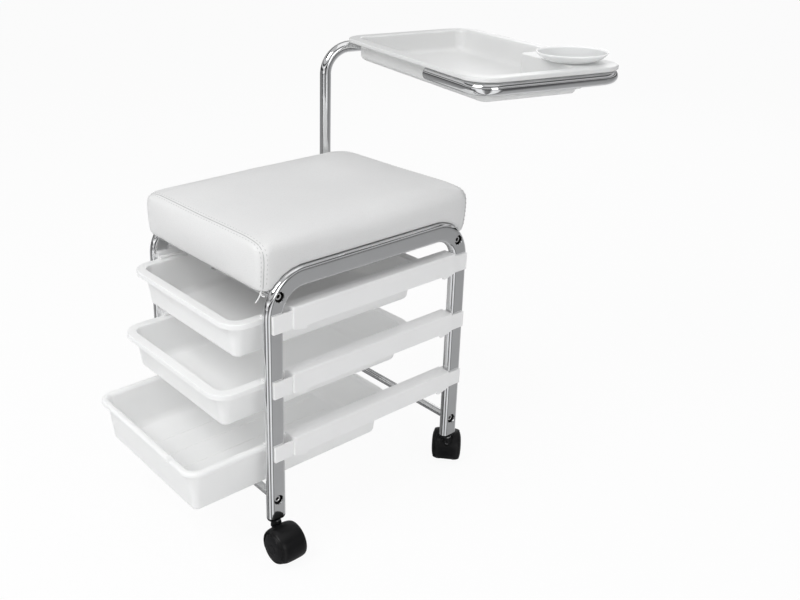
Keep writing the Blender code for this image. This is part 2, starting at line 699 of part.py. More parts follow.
def caster_axle(tag, centre, axis, across):
    outline = circle(2.5, 12, (TRAIL, AXLE_Z))
    make(f"caster_axle_{tag}", across([(outline, -17.0), (outline, 17.0)]), "steel",
         origin=centre, parent=axis)


def caster_wheel(tag, side_sign, centre, axis, across):
    # radius, distance along the axle: blind bore, inner face, tread, dished outer face
    profile = [(2.9, 17.6), (2.9, 6.3), (23.6, 6.3), (WHEEL_R, 8.5), (WHEEL_R, 20.6),
               (23.2, 23.0), (20.6, 22.2), (6.0, 21.2)]
    stations = [(circle(radius, 18, (TRAIL, AXLE_Z), phase=0.5), side_sign * y)
                for radius, y in profile]
    make(f"caster_wheel_{tag}", across(stations), "black", origin=centre, parent=axis)


# ---- build --------------------------------------------------------------
for old in list(bpy.data.objects):
    bpy.data.objects.remove(old, do_unlink=True)

for side, side_sign in SIDES:
    side_frame(side, side_sign)
    for end, end_sign in ENDS:
        for level, (y, z) in (("upper", SCREW_UPPER), ("lower", SCREW_LOWER)):
            frame_screw(f"frame_screw_{level}_{end}_{side}", side_sign, end_sign * y, z)
    for level, (bottom, top, _, rim_top, _) in TRAYS.items():
        runner(f"runner_{side}_{level}", side_sign, bottom, top, rim_top)

for level, (_, _, front, rim_top, underside) in TRAYS.items():
    pull_out_tray(level, front, rim_top, underside)

seat_cushion()
seat_board()
for end, end_sign in ENDS:
    upper_y, lower_y = end_sign * SCREW_UPPER[0], end_sign * SCREW_LOWER[0]
    cross_tube("upper_cross_tube_" + end, (upper_y, UPPER_TUBE_Z), UPPER_TUBE_R, 18)
    cross_tube("lower_cross_bar_" + end, (lower_y, SCREW_LOWER[1]), LOWER_BAR_R, 16)
    board_screw(end, upper_y)

arm_axis = make_axis("arm_axis", *ARM_POST)
for arm_part in (arm_tube, arm_end_cap, arm_foot_plug, arm_stop_collar):
    arm_part(arm_axis)
for level, (bottom, top) in CLIPS.items():
    arm_clip(level, bottom, top)
tool_tray()
tool_bowl()

for tag, (side_sign, end_sign, angle) in CASTERS.items():
    leg_end_plug(tag, side_sign * LEG_X, end_sign * LEG_Y)
    caster(tag, side_sign * LEG_X, end_sign * LEG_Y, angle)

# parented objects follow their axes
for obj in bpy.data.objects:
    if obj.parent is None:
        obj.location.x += SEAT_MIDDLE[0] * MM
        obj.location.y += SEAT_MIDDLE[1] * MM
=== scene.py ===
"""Looks of a pedicure stool, built around its CAD frame.

Two side frames, each an upside-down U of flat tube, stand on casters and carry the
cushion. Three pull-out trays run between them, and a swinging arm holds a work tray
with a round bowl.

The front is -Y, the right is +X, up is +Z. Materials, lights and camera are in metres.
"""
import math

import bmesh
import bpy
from mathutils import Matrix, Vector
from mathutils.bvhtree import BVHTree

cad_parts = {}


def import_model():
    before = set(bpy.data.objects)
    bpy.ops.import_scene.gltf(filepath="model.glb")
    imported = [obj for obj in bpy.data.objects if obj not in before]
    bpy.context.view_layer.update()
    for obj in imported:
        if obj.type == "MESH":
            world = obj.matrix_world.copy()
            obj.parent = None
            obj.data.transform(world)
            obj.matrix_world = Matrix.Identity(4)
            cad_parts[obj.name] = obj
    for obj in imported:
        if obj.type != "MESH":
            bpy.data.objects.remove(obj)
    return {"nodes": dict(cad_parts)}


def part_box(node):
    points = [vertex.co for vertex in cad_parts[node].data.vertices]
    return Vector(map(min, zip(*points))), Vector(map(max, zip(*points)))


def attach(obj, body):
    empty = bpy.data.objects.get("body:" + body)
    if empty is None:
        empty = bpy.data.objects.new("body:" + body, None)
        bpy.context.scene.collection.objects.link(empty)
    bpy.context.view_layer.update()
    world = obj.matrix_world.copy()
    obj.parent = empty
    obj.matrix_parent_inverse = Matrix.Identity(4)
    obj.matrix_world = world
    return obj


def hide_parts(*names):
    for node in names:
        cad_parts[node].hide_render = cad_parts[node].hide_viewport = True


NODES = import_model()["nodes"]
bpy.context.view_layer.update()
scene = bpy.context.scene
MM = 0.001

LEFT_BOX, RIGHT_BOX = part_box("side_frame_left"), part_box("side_frame_right")
SEAT_MIDDLE = Vector((
    (LEFT_BOX[0][0] + RIGHT_BOX[1][0]) / 2,
    (LEFT_BOX[0][1] + LEFT_BOX[1][1]) / 2,
    0.0,
))


def span(name):
    """Low and high corner of a CAD node in millimetres from the middle of the seat frame."""
    return tuple([(v - o) / MM for v, o in zip(corner, SEAT_MIDDLE)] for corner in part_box(name))


def middle(name):
    return [(low + high) / 2 for low, high in zip(*span(name))]


# ---- side frame sizes ----------------------------------------------------
frame_low, frame_high = span("side_frame_right")
FRAME_X, FRAME_Y, FRAME_TOP = frame_high
LEG_BOTTOM = frame_low[2]
TUBE_THICK = frame_high[0] - frame_low[0]
TUBE_WIDE = 30.0
TUBE_CORNER_R = 7.3
TUBE_WALL = 1.5
FRAME_BEND_R = 50.0  # along the middle of the tube
OUTER_BEND_R = FRAME_BEND_R + TUBE_WIDE / 2
ACCESS_R = 7.2  # screw access hole in the outer wall
SIDES = (("left", -1), ("right", 1))


# ======================= materials =======================================
class Shader:
    """Node tree of a material or world. Inputs take either a value or an output socket."""

    def __init__(self, owner):
        owner.use_nodes = True
        self.owner = owner
        self.tree = owner.node_tree

    def feed(self, socket, value):
        if isinstance(value, bpy.types.NodeSocket):
            self.tree.links.new(value, socket)
        else:
            socket.default_value = (*value, 1.0) if socket.type == "RGBA" else value

    def node(self, kind, inputs=None, **settings):
        made = self.tree.nodes.new(kind)
        for key, value in settings.items():
            setattr(made, key, value)
        for key, value in (inputs or {}).items():
            self.feed(made.inputs[key], value)
        return made

    def shade(self, inputs, node_name="Principled BSDF"):
        """Fills the inputs of a node the tree came with."""
        for key, value in inputs.items():
            self.feed(self.tree.nodes[node_name].inputs[key], value)
        return self.owner

    def coords(self, stretch=(1, 1, 1)):
        place = self.node("ShaderNodeTexCoord").outputs["Object"]
        mapping = self.node("ShaderNodeMapping", {"Scale": stretch, "Vector": place})
        return mapping.outputs["Vector"]

    def noise(self, place, scale, detail, roughness, distortion=0.0):
        return self.node("ShaderNodeTexNoise", {
            "Scale": scale, "Detail": detail, "Roughness": roughness,
            "Distortion": distortion, "Vector": place,
        }).outputs["Fac"]

    def remap(self, value, over, to=(0.0, 1.0)):
        inputs = {0: value, 1: over[0], 2: over[1], 3: to[0], 4: to[1]}
        return self.node("ShaderNodeMapRange", inputs).outputs[0]

    def blend(self, factor, first, second):
        inputs = {"Factor": factor, 6: first, 7: second}  # 6 and 7 are the colour sockets
        return self.node("ShaderNodeMix", inputs, data_type="RGBA").outputs[2]

    def bump(self, height, strength, distance, under=None):
        inputs = {"Strength": strength, "Distance": distance, "Height": height}
        if under is not None:
            inputs["Normal"] = under
        return self.node("ShaderNodeBump", inputs).outputs["Normal"]

    def calc(self, operation, first, second):
        return self.node("ShaderNodeMath", {0: first, 1: second}, operation=operation).outputs[0]

    def split(self, vector):
        return self.node("ShaderNodeSeparateXYZ", {0: vector}).outputs

    def ramp(self, value, ends, stops):
        """Colour ramp; ends are its outer colours, stops are (position, cool grey)."""
        made = self.node("ShaderNodeValToRGB", {0: value})
        elements = made.color_ramp.elements
        for element, colour in zip(elements, ends):
            element.color = (*colour, 1)
        for position, grey in stops:
            elements.new(position).color = (grey, grey, grey * 1.01, 1)
        return made.outputs[0]


def chrome_material(name, base, roughness):
    """Metal with a faint cloudiness."""
    shader = Shader(bpy.data.materials.new(name))
    place = shader.coords()
    cloud = shader.noise(place, scale=22.0, detail=4.0, roughness=0.6)
    fine = shader.noise(place, scale=240.0, detail=3.0, roughness=0.7)
    uneven = shader.calc(
        "ADD",
        shader.remap(cloud, over=(0.35, 0.75), to=(0.0, 0.03)),
        shader.remap(fine, over=(0.45, 0.8), to=(0.0, 0.02)),
    )
    darker = tuple(c * 0.93 for c in base)
    return shader.shade({
        "Roughness": shader.calc("ADD", uneven, roughness),
        "Base Color": shader.blend(shader.remap(cloud, over=(0.3, 0.8)), base, darker),
        "Metallic": 1.0,
        "Normal": shader.bump(cloud, strength=0.05, distance=0.0004),
    })


def plastic_material(name, base, shade, roughness, grain=0.06, subsurface=0.08, painted_glow=0.12):
    """Moulded plastic: faint orange peel, soft flow marks, light scuffs and a faint painted glow.
    """
    shader = Shader(bpy.data.materials.new(name))
    place = shader.coords()
    flow = shader.noise(place, scale=9.0, detail=3.0, roughness=0.5, distortion=0.6)
    peel = shader.noise(place, scale=700.0, detail=2.0, roughness=0.5)
    scuff_place = shader.coords(stretch=(1.0, 0.12, 1.0))
    scuff = shader.noise(scuff_place, scale=420.0, detail=4.0, roughness=0.65)
    colour = shader.blend(shader.remap(flow, over=(0.35, 0.7)), base, shade)
    worn = shader.calc(
        "ADD",
        shader.remap(flow, over=(0.3, 0.75), to=(roughness - 0.02, roughness + 0.03)),
        shader.remap(scuff, over=(0.60, 0.80), to=(0.0, 0.06)),
    )
    peel_bump = shader.bump(peel, strength=grain, distance=0.0002)
    return shader.shade({
        "Base Color": colour,
        "Roughness": worn,
        "Normal": shader.bump(flow, strength=0.02, distance=0.0015, under=peel_bump),
        "Subsurface Weight": subsurface,
        "Subsurface Radius": (0.006, 0.006, 0.0055),
        "Subsurface Scale": 1.0,
        "IOR": 1.49,
        # painted light: the plastic glows faintly in its own colour, which brightens its shaded
        # parts
        "Emission Color": colour,
        "Emission Strength": painted_glow,
    })


def vinyl_material():
    """Coated upholstery cloth: pebble grain with painted shade in its creases, satin sheen, faint
    tone changes.
    """
    shader = Shader(bpy.data.materials.new("vinyl_white"))
    place = shader.coords()
    warp = shader.node("ShaderNodeTexNoise", {"Scale": 300.0, "Vector": place})
    shift = shader.node("ShaderNodeVectorMath", {"Scale": 0.0014, 0: warp.outputs["Color"]},
                        operation="SCALE")
    moved = shader.node("ShaderNodeVectorMath", {0: place, 1: shift.outputs[0]}, operation="ADD")
    cell = shader.node("ShaderNodeTexVoronoi", {"Scale": 620.0, "Vector": moved.outputs[0]},
                       feature="DISTANCE_TO_EDGE")
    pebble = shader.remap(cell.outputs["Distance"], over=(0.0, 0.28))
    broad = shader.noise(place, scale=7.0, detail=3.0, roughness=0.5)
    fine = shader.noise(place, scale=1500.0, detail=2.0, roughness=0.6)
    tone = shader.blend(shader.remap(broad, over=(0.3, 0.7)),
                        (0.80, 0.80, 0.797), (0.765, 0.765, 0.765))
    # painted shade: the creases of the pebble grain are darkened
    crease_shade = shader.remap(pebble, over=(0.0, 0.5), to=(0.16, 0.0))
    roughness = shader.calc(
        "ADD",
        shader.remap(pebble, over=(0.0, 1.0), to=(0.56, 0.40)),
        shader.remap(broad, over=(0.3, 0.7), to=(-0.03, 0.05)),
    )
    colour = shader.blend(crease_shade, tone, (0.50, 0.50, 0.50))
    pebble_bump = shader.bump(pebble, strength=0.22, distance=0.00025)
    fine_bump = shader.bump(fine, strength=0.08, distance=0.00008, under=pebble_bump)
    return shader.shade({
        "Base Color": colour,
        "Roughness": roughness,
        "Normal": shader.bump(broad, strength=0.10, distance=0.004, under=fine_bump),
        "Sheen Weight": 0.06,
        "Sheen Roughness": 0.4,
        "Subsurface Weight": 0.05,
        "Subsurface Radius": (0.003, 0.003, 0.003),
        "Subsurface Scale": 1.0,
        "Coat Weight": 0.08,
        "Coat Roughness": 0.3,
    })


def black_material(name, base, roughness, grain):
    """Dark grained plastic with a little dust."""
    shader = Shader(bpy.data.materials.new(name))
    place = shader.coords()
    texture = shader.noise(place, scale=1300.0, detail=2.0, roughness=0.6)
    broad = shader.noise(place, scale=40.0, detail=4.0, roughness=0.6)
    dust = shader.noise(place, scale=160.0, detail=5.0, roughness=0.7)
    dusty = tuple(c * 2.0 + 0.006 for c in base)
    amount = shader.remap(dust, over=(0.58, 0.82), to=(0.0, 0.3))
    return shader.shade({
        "Base Color": shader.blend(amount, base, dusty),
        "Roughness": shader.remap(broad, over=(0.3, 0.75), to=(roughness - 0.05, roughness + 0.10)),
        "Normal": shader.bump(texture, strength=grain, distance=0.00015),
        "Specular IOR Level": 0.25,
    })


def wood_material():
    """Plywood coloured nearly black."""
    shader = Shader(bpy.data.materials.new("near_black_board"))
    place = shader.coords(stretch=(8.0, 1.0, 8.0))
    grain = shader.noise(place, scale=24.0, detail=6.0, roughness=0.65, distortion=0.8)
    layers = shader.node(
        "ShaderNodeTexWave", {"Scale": 260.0, "Distortion": 1.0, "Vector": shader.coords()},
        wave_type="BANDS", bands_direction="Z")
    near_black_tone = shader.blend(shader.remap(grain, over=(0.3, 0.7)),
                         (0.050, 0.046, 0.043), (0.026, 0.024, 0.023))
    layer = shader.remap(layers.outputs["Fac"], over=(0.3, 0.8), to=(0.0, 0.3))
    return shader.shade({
        "Base Color": shader.blend(layer, near_black_tone, (0.014, 0.013, 0.012)),
        "Roughness": 0.72,
        "Normal": shader.bump(grain, strength=0.25, distance=0.0004),
    })


def bowl_material():
    """Milky translucent plastic with painted shade on surfaces facing up, a painted highlight at
    the rim and a faint painted glow.
    """
    rim_highlight_heights = (0.6846, 0.6856)  # the painted rim highlight and the stronger painted glow fade in over these heights
    shader = Shader(bpy.data.materials.new("milky_plastic"))
    place = shader.coords()
    flow = shader.noise(place, scale=30.0, detail=3.0, roughness=0.5, distortion=0.4)
    facing = shader.split(shader.node("ShaderNodeNewGeometry").outputs["Normal"])
    milk = shader.blend(shader.remap(flow, over=(0.3, 0.7)),
                        (0.86, 0.87, 0.87), (0.82, 0.835, 0.835))
    # painted shade: surfaces facing up are made greyer
    inside = shader.blend(shader.remap(facing["Z"], over=(0.1, 0.8)), milk, (0.68, 0.69, 0.69))
    height = shader.split(place)["Z"]
    # painted highlight: the rim is made lighter
    rim = shader.remap(height, over=rim_highlight_heights)
    return shader.shade({
        "Base Color": shader.blend(rim, inside, (0.88, 0.885, 0.885)),
        "Roughness": shader.remap(flow, over=(0.3, 0.7), to=(0.16, 0.26)),
        "Transmission Weight": 0.22,
        # painted glow, stronger at the rim as part of the painted highlight
        "Emission Color": (0.9, 0.9, 0.9),
        "Emission Strength": shader.remap(height, over=rim_highlight_heights, to=(0.09, 0.17)),
        "Subsurface Weight": 0.25,
        "Subsurface Radius": (0.008, 0.008, 0.008),
        "Subsurface Scale": 1.0,
        "IOR": 1.45,
        "Normal": shader.bump(flow, strength=0.06, distance=0.0008),
    })


def thread_material(name, dark, light):
    """Grey thread with a fine diagonal twist; dark and light are grey levels."""
    shader = Shader(bpy.data.materials.new(name))
    twist = shader.node("ShaderNodeTexWave", {"Scale": 900.0, "Vector": shader.coords()},
                        wave_type="BANDS", bands_direction="DIAGONAL").outputs["Fac"]
    return shader.shade({
        "Base Color": shader.blend(shader.remap(twist, over=(0.2, 0.9)), (dark,) * 3, (light,) * 3),
        "Roughness": 0.6,
        "Sheen Weight": 0.2,
        "Normal": shader.bump(twist, strength=0.3, distance=0.0001),
    })


CHROME = chrome_material("chrome_tube", base=(0.80, 0.805, 0.81), roughness=0.035)
CHROME_ARM = chrome_material("chrome_round_tube", base=(0.82, 0.825, 0.83), roughness=0.03)
HEAD = chrome_material("screw_head", base=(0.80, 0.80, 0.80), roughness=0.16)
RAW = chrome_material("raw_tube_inside", base=(0.06, 0.058, 0.055), roughness=0.45)
STEEL = chrome_material("screw_steel", base=(0.52, 0.525, 0.53), roughness=0.2)
# the glow of the white plastics is painted light that brightens their shade
WHITE = plastic_material(
    "moulded_white", base=(0.81, 0.812, 0.81), shade=(0.79, 0.793, 0.792), roughness=0.36)
WHITE_TOP = plastic_material(
    "work_tray_white", base=(0.775, 0.777, 0.772), shade=(0.75, 0.753, 0.75), roughness=0.34,
    grain=0.05, painted_glow=0.0)
WHITE_GLOSS = plastic_material(
    "runner_white", base=(0.82, 0.82, 0.82), shade=(0.80, 0.80, 0.802), roughness=0.34,
    grain=0.03, subsurface=0.05, painted_glow=0.09)
VINYL = vinyl_material()
BLACK = black_material("black_nylon", base=(0.0035, 0.0035, 0.004), roughness=0.34, grain=0.10)
TREAD = black_material("black_wheel", base=(0.004, 0.004, 0.0045), roughness=0.42, grain=0.16)
DISC = black_material("black_wheel_disc", base=(0.006, 0.006, 0.007), roughness=0.38, grain=0.22)
GREY = black_material("dark_grey_cap", base=(0.10, 0.10, 0.105), roughness=0.35, grain=0.10)
WOOD = wood_material()
BOWL = bowl_material()
THREAD = thread_material("thread_white", dark=0.50, light=0.66)
SEAM = thread_material("seam_shadow", dark=0.42, light=0.52)
CORD = thread_material("cord_white", dark=0.70, light=0.84)


# ======================= outlines and shapes =============================
# A shape is a pair (vertices, faces).
def loft(rings, around=False):
    """Skins rings of equal count; the ends are capped, or joined to each other if around."""
    count = len(rings[0])
    faces = []
    for k in range(len(rings) if around else len(rings) - 1):
        first, second = k * count, ((k + 1) % len(rings)) * count
        for i in range(count):
            j = (i + 1) % count
            faces.append((first + i, first + j, second + j, second + i))
    if not around:
        faces.append(tuple(range(count)))
        faces.append(tuple(range((len(rings) - 1) * count, len(rings) * count)))
    return [point for ring in rings for point in ring], faces


def upright(x, y, z):
    return x, y, z


def sweep(stations, place=upright, around=False):
    """Lofts (outline, distance along) stations; place turns the three numbers into x, y, z."""
    rings = [[place(*point, along) for point in outline] for outline, along in stations]
    return loft(rings, around)


def prism(outline, ends, place=upright):
    return sweep([(outline, along) for along in ends], place)


def turned(profile, count, place, around=False):
    """Turned body; profile is (radius, distance along)."""
    return sweep([(circle(radius, count), along) for radius, along in profile], place, around)


def lathe(profile, count, centre, around=False):
    """Turned body about an upright axis through centre."""
    return turned(profile, count, lambda x, y, z: (centre[0] + x, centre[1] + y, z), around)


def along_x(centre_y, centre_z, sign=1):
    """Placing for a body about an X axis; sign -1 mirrors it to the left."""
    return lambda y, z, x: (sign * x, centre_y + y, centre_z + z)


def on_circle(radius, degrees):
    return radius * math.cos(math.radians(degrees)), radius * math.sin(math.radians(degrees))


def rounded(half_x, half_y, radius, steps):
    """Rectangle with round corners."""
    points = []
    for x, y, start in (
        (half_x - radius, half_y - radius, 0), (-half_x + radius, half_y - radius, 90),
        (-half_x + radius, -half_y + radius, 180), (half_x - radius, -half_y + radius, 270),
    ):
        for k in range(steps + 1):
            across, up = on_circle(radius, start + 90.0 * k / steps)
            points.append((x + across, y + up))
    return points


def circle(radius, count):
    angles = [2 * math.pi * k / count for k in range(count)]
    return [(radius * math.cos(angle), radius * math.sin(angle)) for angle in angles]


def hexagon(apothem, count):
    points = []
    for k in range(count):
        angle = 2 * math.pi * k / count
        off_flat = (angle + math.pi / 6) % (math.pi / 3) - math.pi / 6
        radius = apothem / math.cos(off_flat)
        points.append((radius * math.cos(angle), radius * math.sin(angle)))
    return points


def soften(profile, steps=3):
    """Turns each inner point into a short arc; its third number is how far the arc reaches."""
    points = [profile[0]]
    for corner in zip(profile, profile[1:], profile[2:]):
        before, tip, after = (Vector(point[:2]) for point in corner)
        back, ahead = before - tip, after - tip
        reach = min(corner[1][2], back.length * 0.45, ahead.length * 0.45)
        if reach < 1e-4:
            points.append(tuple(tip))
            continue
        start, end = tip + back.normalized() * reach, tip + ahead.normalized() * reach
        for k in range(steps + 1):
            share = k / steps
            rest = 1 - share
            points.append(tuple(start * rest ** 2 + tip * 2 * share * rest + end * share ** 2))
    points.append(profile[-1])
    return points


# ======================= objects =========================================
def mesh_obj(name, shape, *materials, sharp=35.0, index=None):
    """Object from a shape in mm; index gives each face its material slot."""
    verts, faces = shape
    build = bmesh.new()
    corners = [build.verts.new((x * MM, y * MM, z * MM)) for x, y, z in verts]
    for k, loop in enumerate(faces):
        face = build.faces.new([corners[i] for i in loop])
        face.smooth = True
        if index:
            face.material_index = index[k]
    bmesh.ops.recalc_face_normals(build, faces=build.faces)
    mesh = bpy.data.meshes.new(name)
    build.to_mesh(mesh)
    build.free()
    for material in materials:
        mesh.materials.append(material)
    obj = bpy.data.objects.new(name, mesh)
    scene.collection.objects.link(obj)
    obj["sharp"] = sharp
    return obj


def bake(obj):
    """Applies every modifier of obj to its mesh."""
    bpy.context.view_layer.update()
    graph = bpy.context.evaluated_depsgraph_get()
    mesh = bpy.data.meshes.new_from_object(obj.evaluated_get(graph))
    obj.modifiers.clear()
    obj.data = mesh


def combine(obj, tools, operation):
    for tool in tools:
        boolean = obj.modifiers.new("b", "BOOLEAN")
        boolean.operation, boolean.object, boolean.solver = operation, tool, "EXACT"
    bake(obj)
    for tool in tools:
        bpy.data.objects.remove(tool)


def carve(obj, *tools):
    combine(obj, tools, "DIFFERENCE")


def join(obj, *tools):
    combine(obj, tools, "UNION")


def bevel(obj, width, segments, angle=32):
    modifier = obj.modifiers.new("bevel", "BEVEL")
    modifier.width = width * MM
    modifier.segments = segments
    modifier.limit_method = "ANGLE"
    modifier.angle_limit = math.radians(angle)
    modifier.harden_normals = False
    modifier.use_clamp_overlap = True


def finish(obj, body, *replaced, slot):
    """Shades a piece, moves it into place, ties it to its body and hides the CAD nodes it stands
    for.
    """
    obj.data.transform(Matrix.Translation(SEAT_MIDDLE))
    obj.data.set_sharp_from_angle(angle=math.radians(obj["sharp"]))
    normals = obj.modifiers.new("normals", "WEIGHTED_NORMAL")
    normals.keep_sharp, normals.weight = True, 60
    del obj["sharp"]
    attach(obj, body)
    if replaced:
        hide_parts(*replaced)


def keep_cad(name, material, width, segments, angle):
    """A CAD node whose shape is kept: its edges are broken and it gets its material."""
    obj = NODES[name]
    obj.data.materials.clear()
    obj.data.materials.append(material)
    weld = obj.modifiers.new("weld", "WELD")
    weld.merge_threshold = 0.00002
    planar = obj.modifiers.new("planar", "DECIMATE")
    planar.decimate_type, planar.angle_limit = "DISSOLVE", math.radians(0.5)
    bevel(obj, width, segments, angle)
    for face in obj.data.polygons:
        face.use_smooth = True
    normals = obj.modifiers.new("normals", "WEIGHTED_NORMAL")
    normals.weight = 60


# ======================= side frames =====================================
SCREW_ENDS = [(level, end) for level in ("upper", "lower") for end in ("front", "rear")]


def frame_rings(sign, inset, corner_steps):
    """Tube sections from the foot of the front leg over the top to the foot of the rear leg."""
    bend_steps, leg_steps = 28, 3
    tube_x = sign * (FRAME_X - TUBE_THICK / 2)
    leg_y = FRAME_Y - TUBE_WIDE / 2
    bend_z = FRAME_TOP - TUBE_WIDE / 2 - FRAME_BEND_R
    section = rounded(TUBE_WIDE / 2 - inset, TUBE_THICK / 2 - inset, TUBE_CORNER_R - inset,
                      corner_steps)
    rise = bend_z - LEG_BOTTOM
    stations = [(-leg_y, LEG_BOTTOM + rise * k / leg_steps, 0.0) for k in range(leg_steps)]
    for bend_y, start in ((-leg_y + FRAME_BEND_R, 0.0), (leg_y - FRAME_BEND_R, 90.0)):
        for k in range(bend_steps + 1):
            angle = start + 90.0 * k / bend_steps
            back, up = on_circle(FRAME_BEND_R, angle)
            stations.append((bend_y - back, bend_z + up, angle))
    stations += [(leg_y, bend_z - rise * (k + 1) / leg_steps, 180.0) for k in range(leg_steps)]
    rings = []
    for y, z, angle in stations:
        cos, sin = on_circle(1.0, angle)
        rings.append([(tube_x + aside, y - cos * out, z + sin * out) for out, aside in section])
    return rings


def tube_shape(sign):
    """Hollow tube with rims at both leg ends; also gives each face's material slot."""
    skins = [frame_rings(sign, 0.0, 8), frame_rings(sign, TUBE_WALL, 5)]
    verts, faces, index = [], [], []
    for slot, rings in enumerate(skins):
        base = len(verts)
        skin_verts, skin_faces = loft(rings)
        skin_faces = skin_faces[:-2]  # the ends stay open
        verts += skin_verts
        faces += [tuple(i + base for i in face) for face in skin_faces]
        index += [slot] * len(skin_faces)
    outer_count, inner_count = len(skins[0][0]), len(skins[1][0])
    inner_base = len(skins[0]) * outer_count
    outer_corner, inner_corner = outer_count // 4, inner_count // 4
    # the rims join the two skins corner by corner
    for outer_at, inner_at in ((0, inner_base),
                               (inner_base - outer_count, len(verts) - inner_count)):
        for q in range(4):
            outer = [outer_at + (q * outer_corner + k) % outer_count for k in range(outer_corner)]
            inner = [inner_at + (q * inner_corner + k) % inner_count for k in range(inner_corner)]
            next_outer = outer_at + ((q + 1) * outer_corner) % outer_count
            next_inner = inner_at + ((q + 1) * inner_corner) % inner_count
            faces.append(tuple(outer + inner[::-1]))
            faces.append((outer[-1], next_outer, next_inner, inner[-1]))
            index += [0, 0]
    return (verts, faces), index


def side_frame(side, sign):
    shape, index = tube_shape(sign)
    tube = mesh_obj("frame_tube_" + side, shape, CHROME, RAW, sharp=30.0, index=index)
    # access hole, its mouth slightly flared
    hole = [(ACCESS_R, FRAME_X - 7.5), (ACCESS_R, FRAME_X - 0.7),
            (ACCESS_R + 0.9, FRAME_X + 0.2), (ACCESS_R + 0.9, FRAME_X + 4)]
    tools = []
    for level, end in SCREW_ENDS:
        _, y, z = middle(f"frame_screw_{level}_{end}_{side}")
        tools.append(mesh_obj(f"c_{level}_{end}", turned(hole, 48, along_x(y, z, sign)), CHROME))
    carve(tube, *tools)
    bevel(tube, 0.25, 2, 50)
    finish(tube, "frame", "side_frame_" + side, slot="chrome")


def frame_screw(tag, sign):
    """Socket head screw down in its access hole."""
    _, y, z = middle("frame_screw_" + tag)
    count = 48
    seat = FRAME_X - TUBE_THICK + TUBE_WALL + 0.2
    head = FRAME_X - 3.4
    turns = [(2.9, seat - 17.0), (2.9, seat), (5.4, seat), (5.4, head - 1.2), (5.2, head - 0.5),
             (4.5, head), (3.1, head)]
    stations = [(circle(radius, count), along) for radius, along in turns]
    stations += [(hexagon(2.55, count), head - 0.4), (hexagon(2.5, count), head - 3.0)]
    verts, faces = sweep(stations, along_x(y, z, sign))

    def in_socket(i):
        return math.hypot(verts[i][1] - y, verts[i][2] - z) < 3.0 and abs(verts[i][0]) > head - 3.2

    socket = [int(all(in_socket(i) for i in face)) for face in faces]
    screw = mesh_obj("socket_screw_" + tag, (verts, faces), HEAD, RAW, sharp=30.0, index=socket)
    finish(screw, "frame", "frame_screw_" + tag, slot="screw_steel")


def cross_tube(name):
    low, high = span(name)
    _, y, z = middle(name)
    end, radius = high[0], (high[2] - low[2]) / 2
    profile = soften([(3.4, -end + 3), (3.4, -end, 0.5), (radius, -end, 0.9),
                      (radius, end, 0.9), (3.4, end, 0.5), (3.4, end - 3)], 4)
    piece = mesh_obj(name + "_polished", turned(profile, 48, along_x(y, z)), CHROME_ARM)
    finish(piece, "frame", name, slot="chrome")


for side, sign in SIDES:
    side_frame(side, sign)
for side, sign in SIDES:
    for level, end in SCREW_ENDS:
        frame_screw(f"{level}_{end}_{side}", sign)
for kind in ("upper_cross_tube", "lower_cross_bar"):
    for end in ("front", "rear"):
        cross_tube(f"{kind}_{end}")

# ======================= runners =========================================
WEB_IN = 139.3  # faces of the channel's web, X
WEB_OUT = FRAME_X - TUBE_THICK - 0.3
FLANGE = 131.5  # inner edge of the channel's flanges, X
BAR_FRONT, BAR_REAR = -151.5, 159.0
PAD_FRONT, PAD_REAR = -184.0, 188.5
RIM_LIP = 8.0  # depth of a pull-out tray's rim


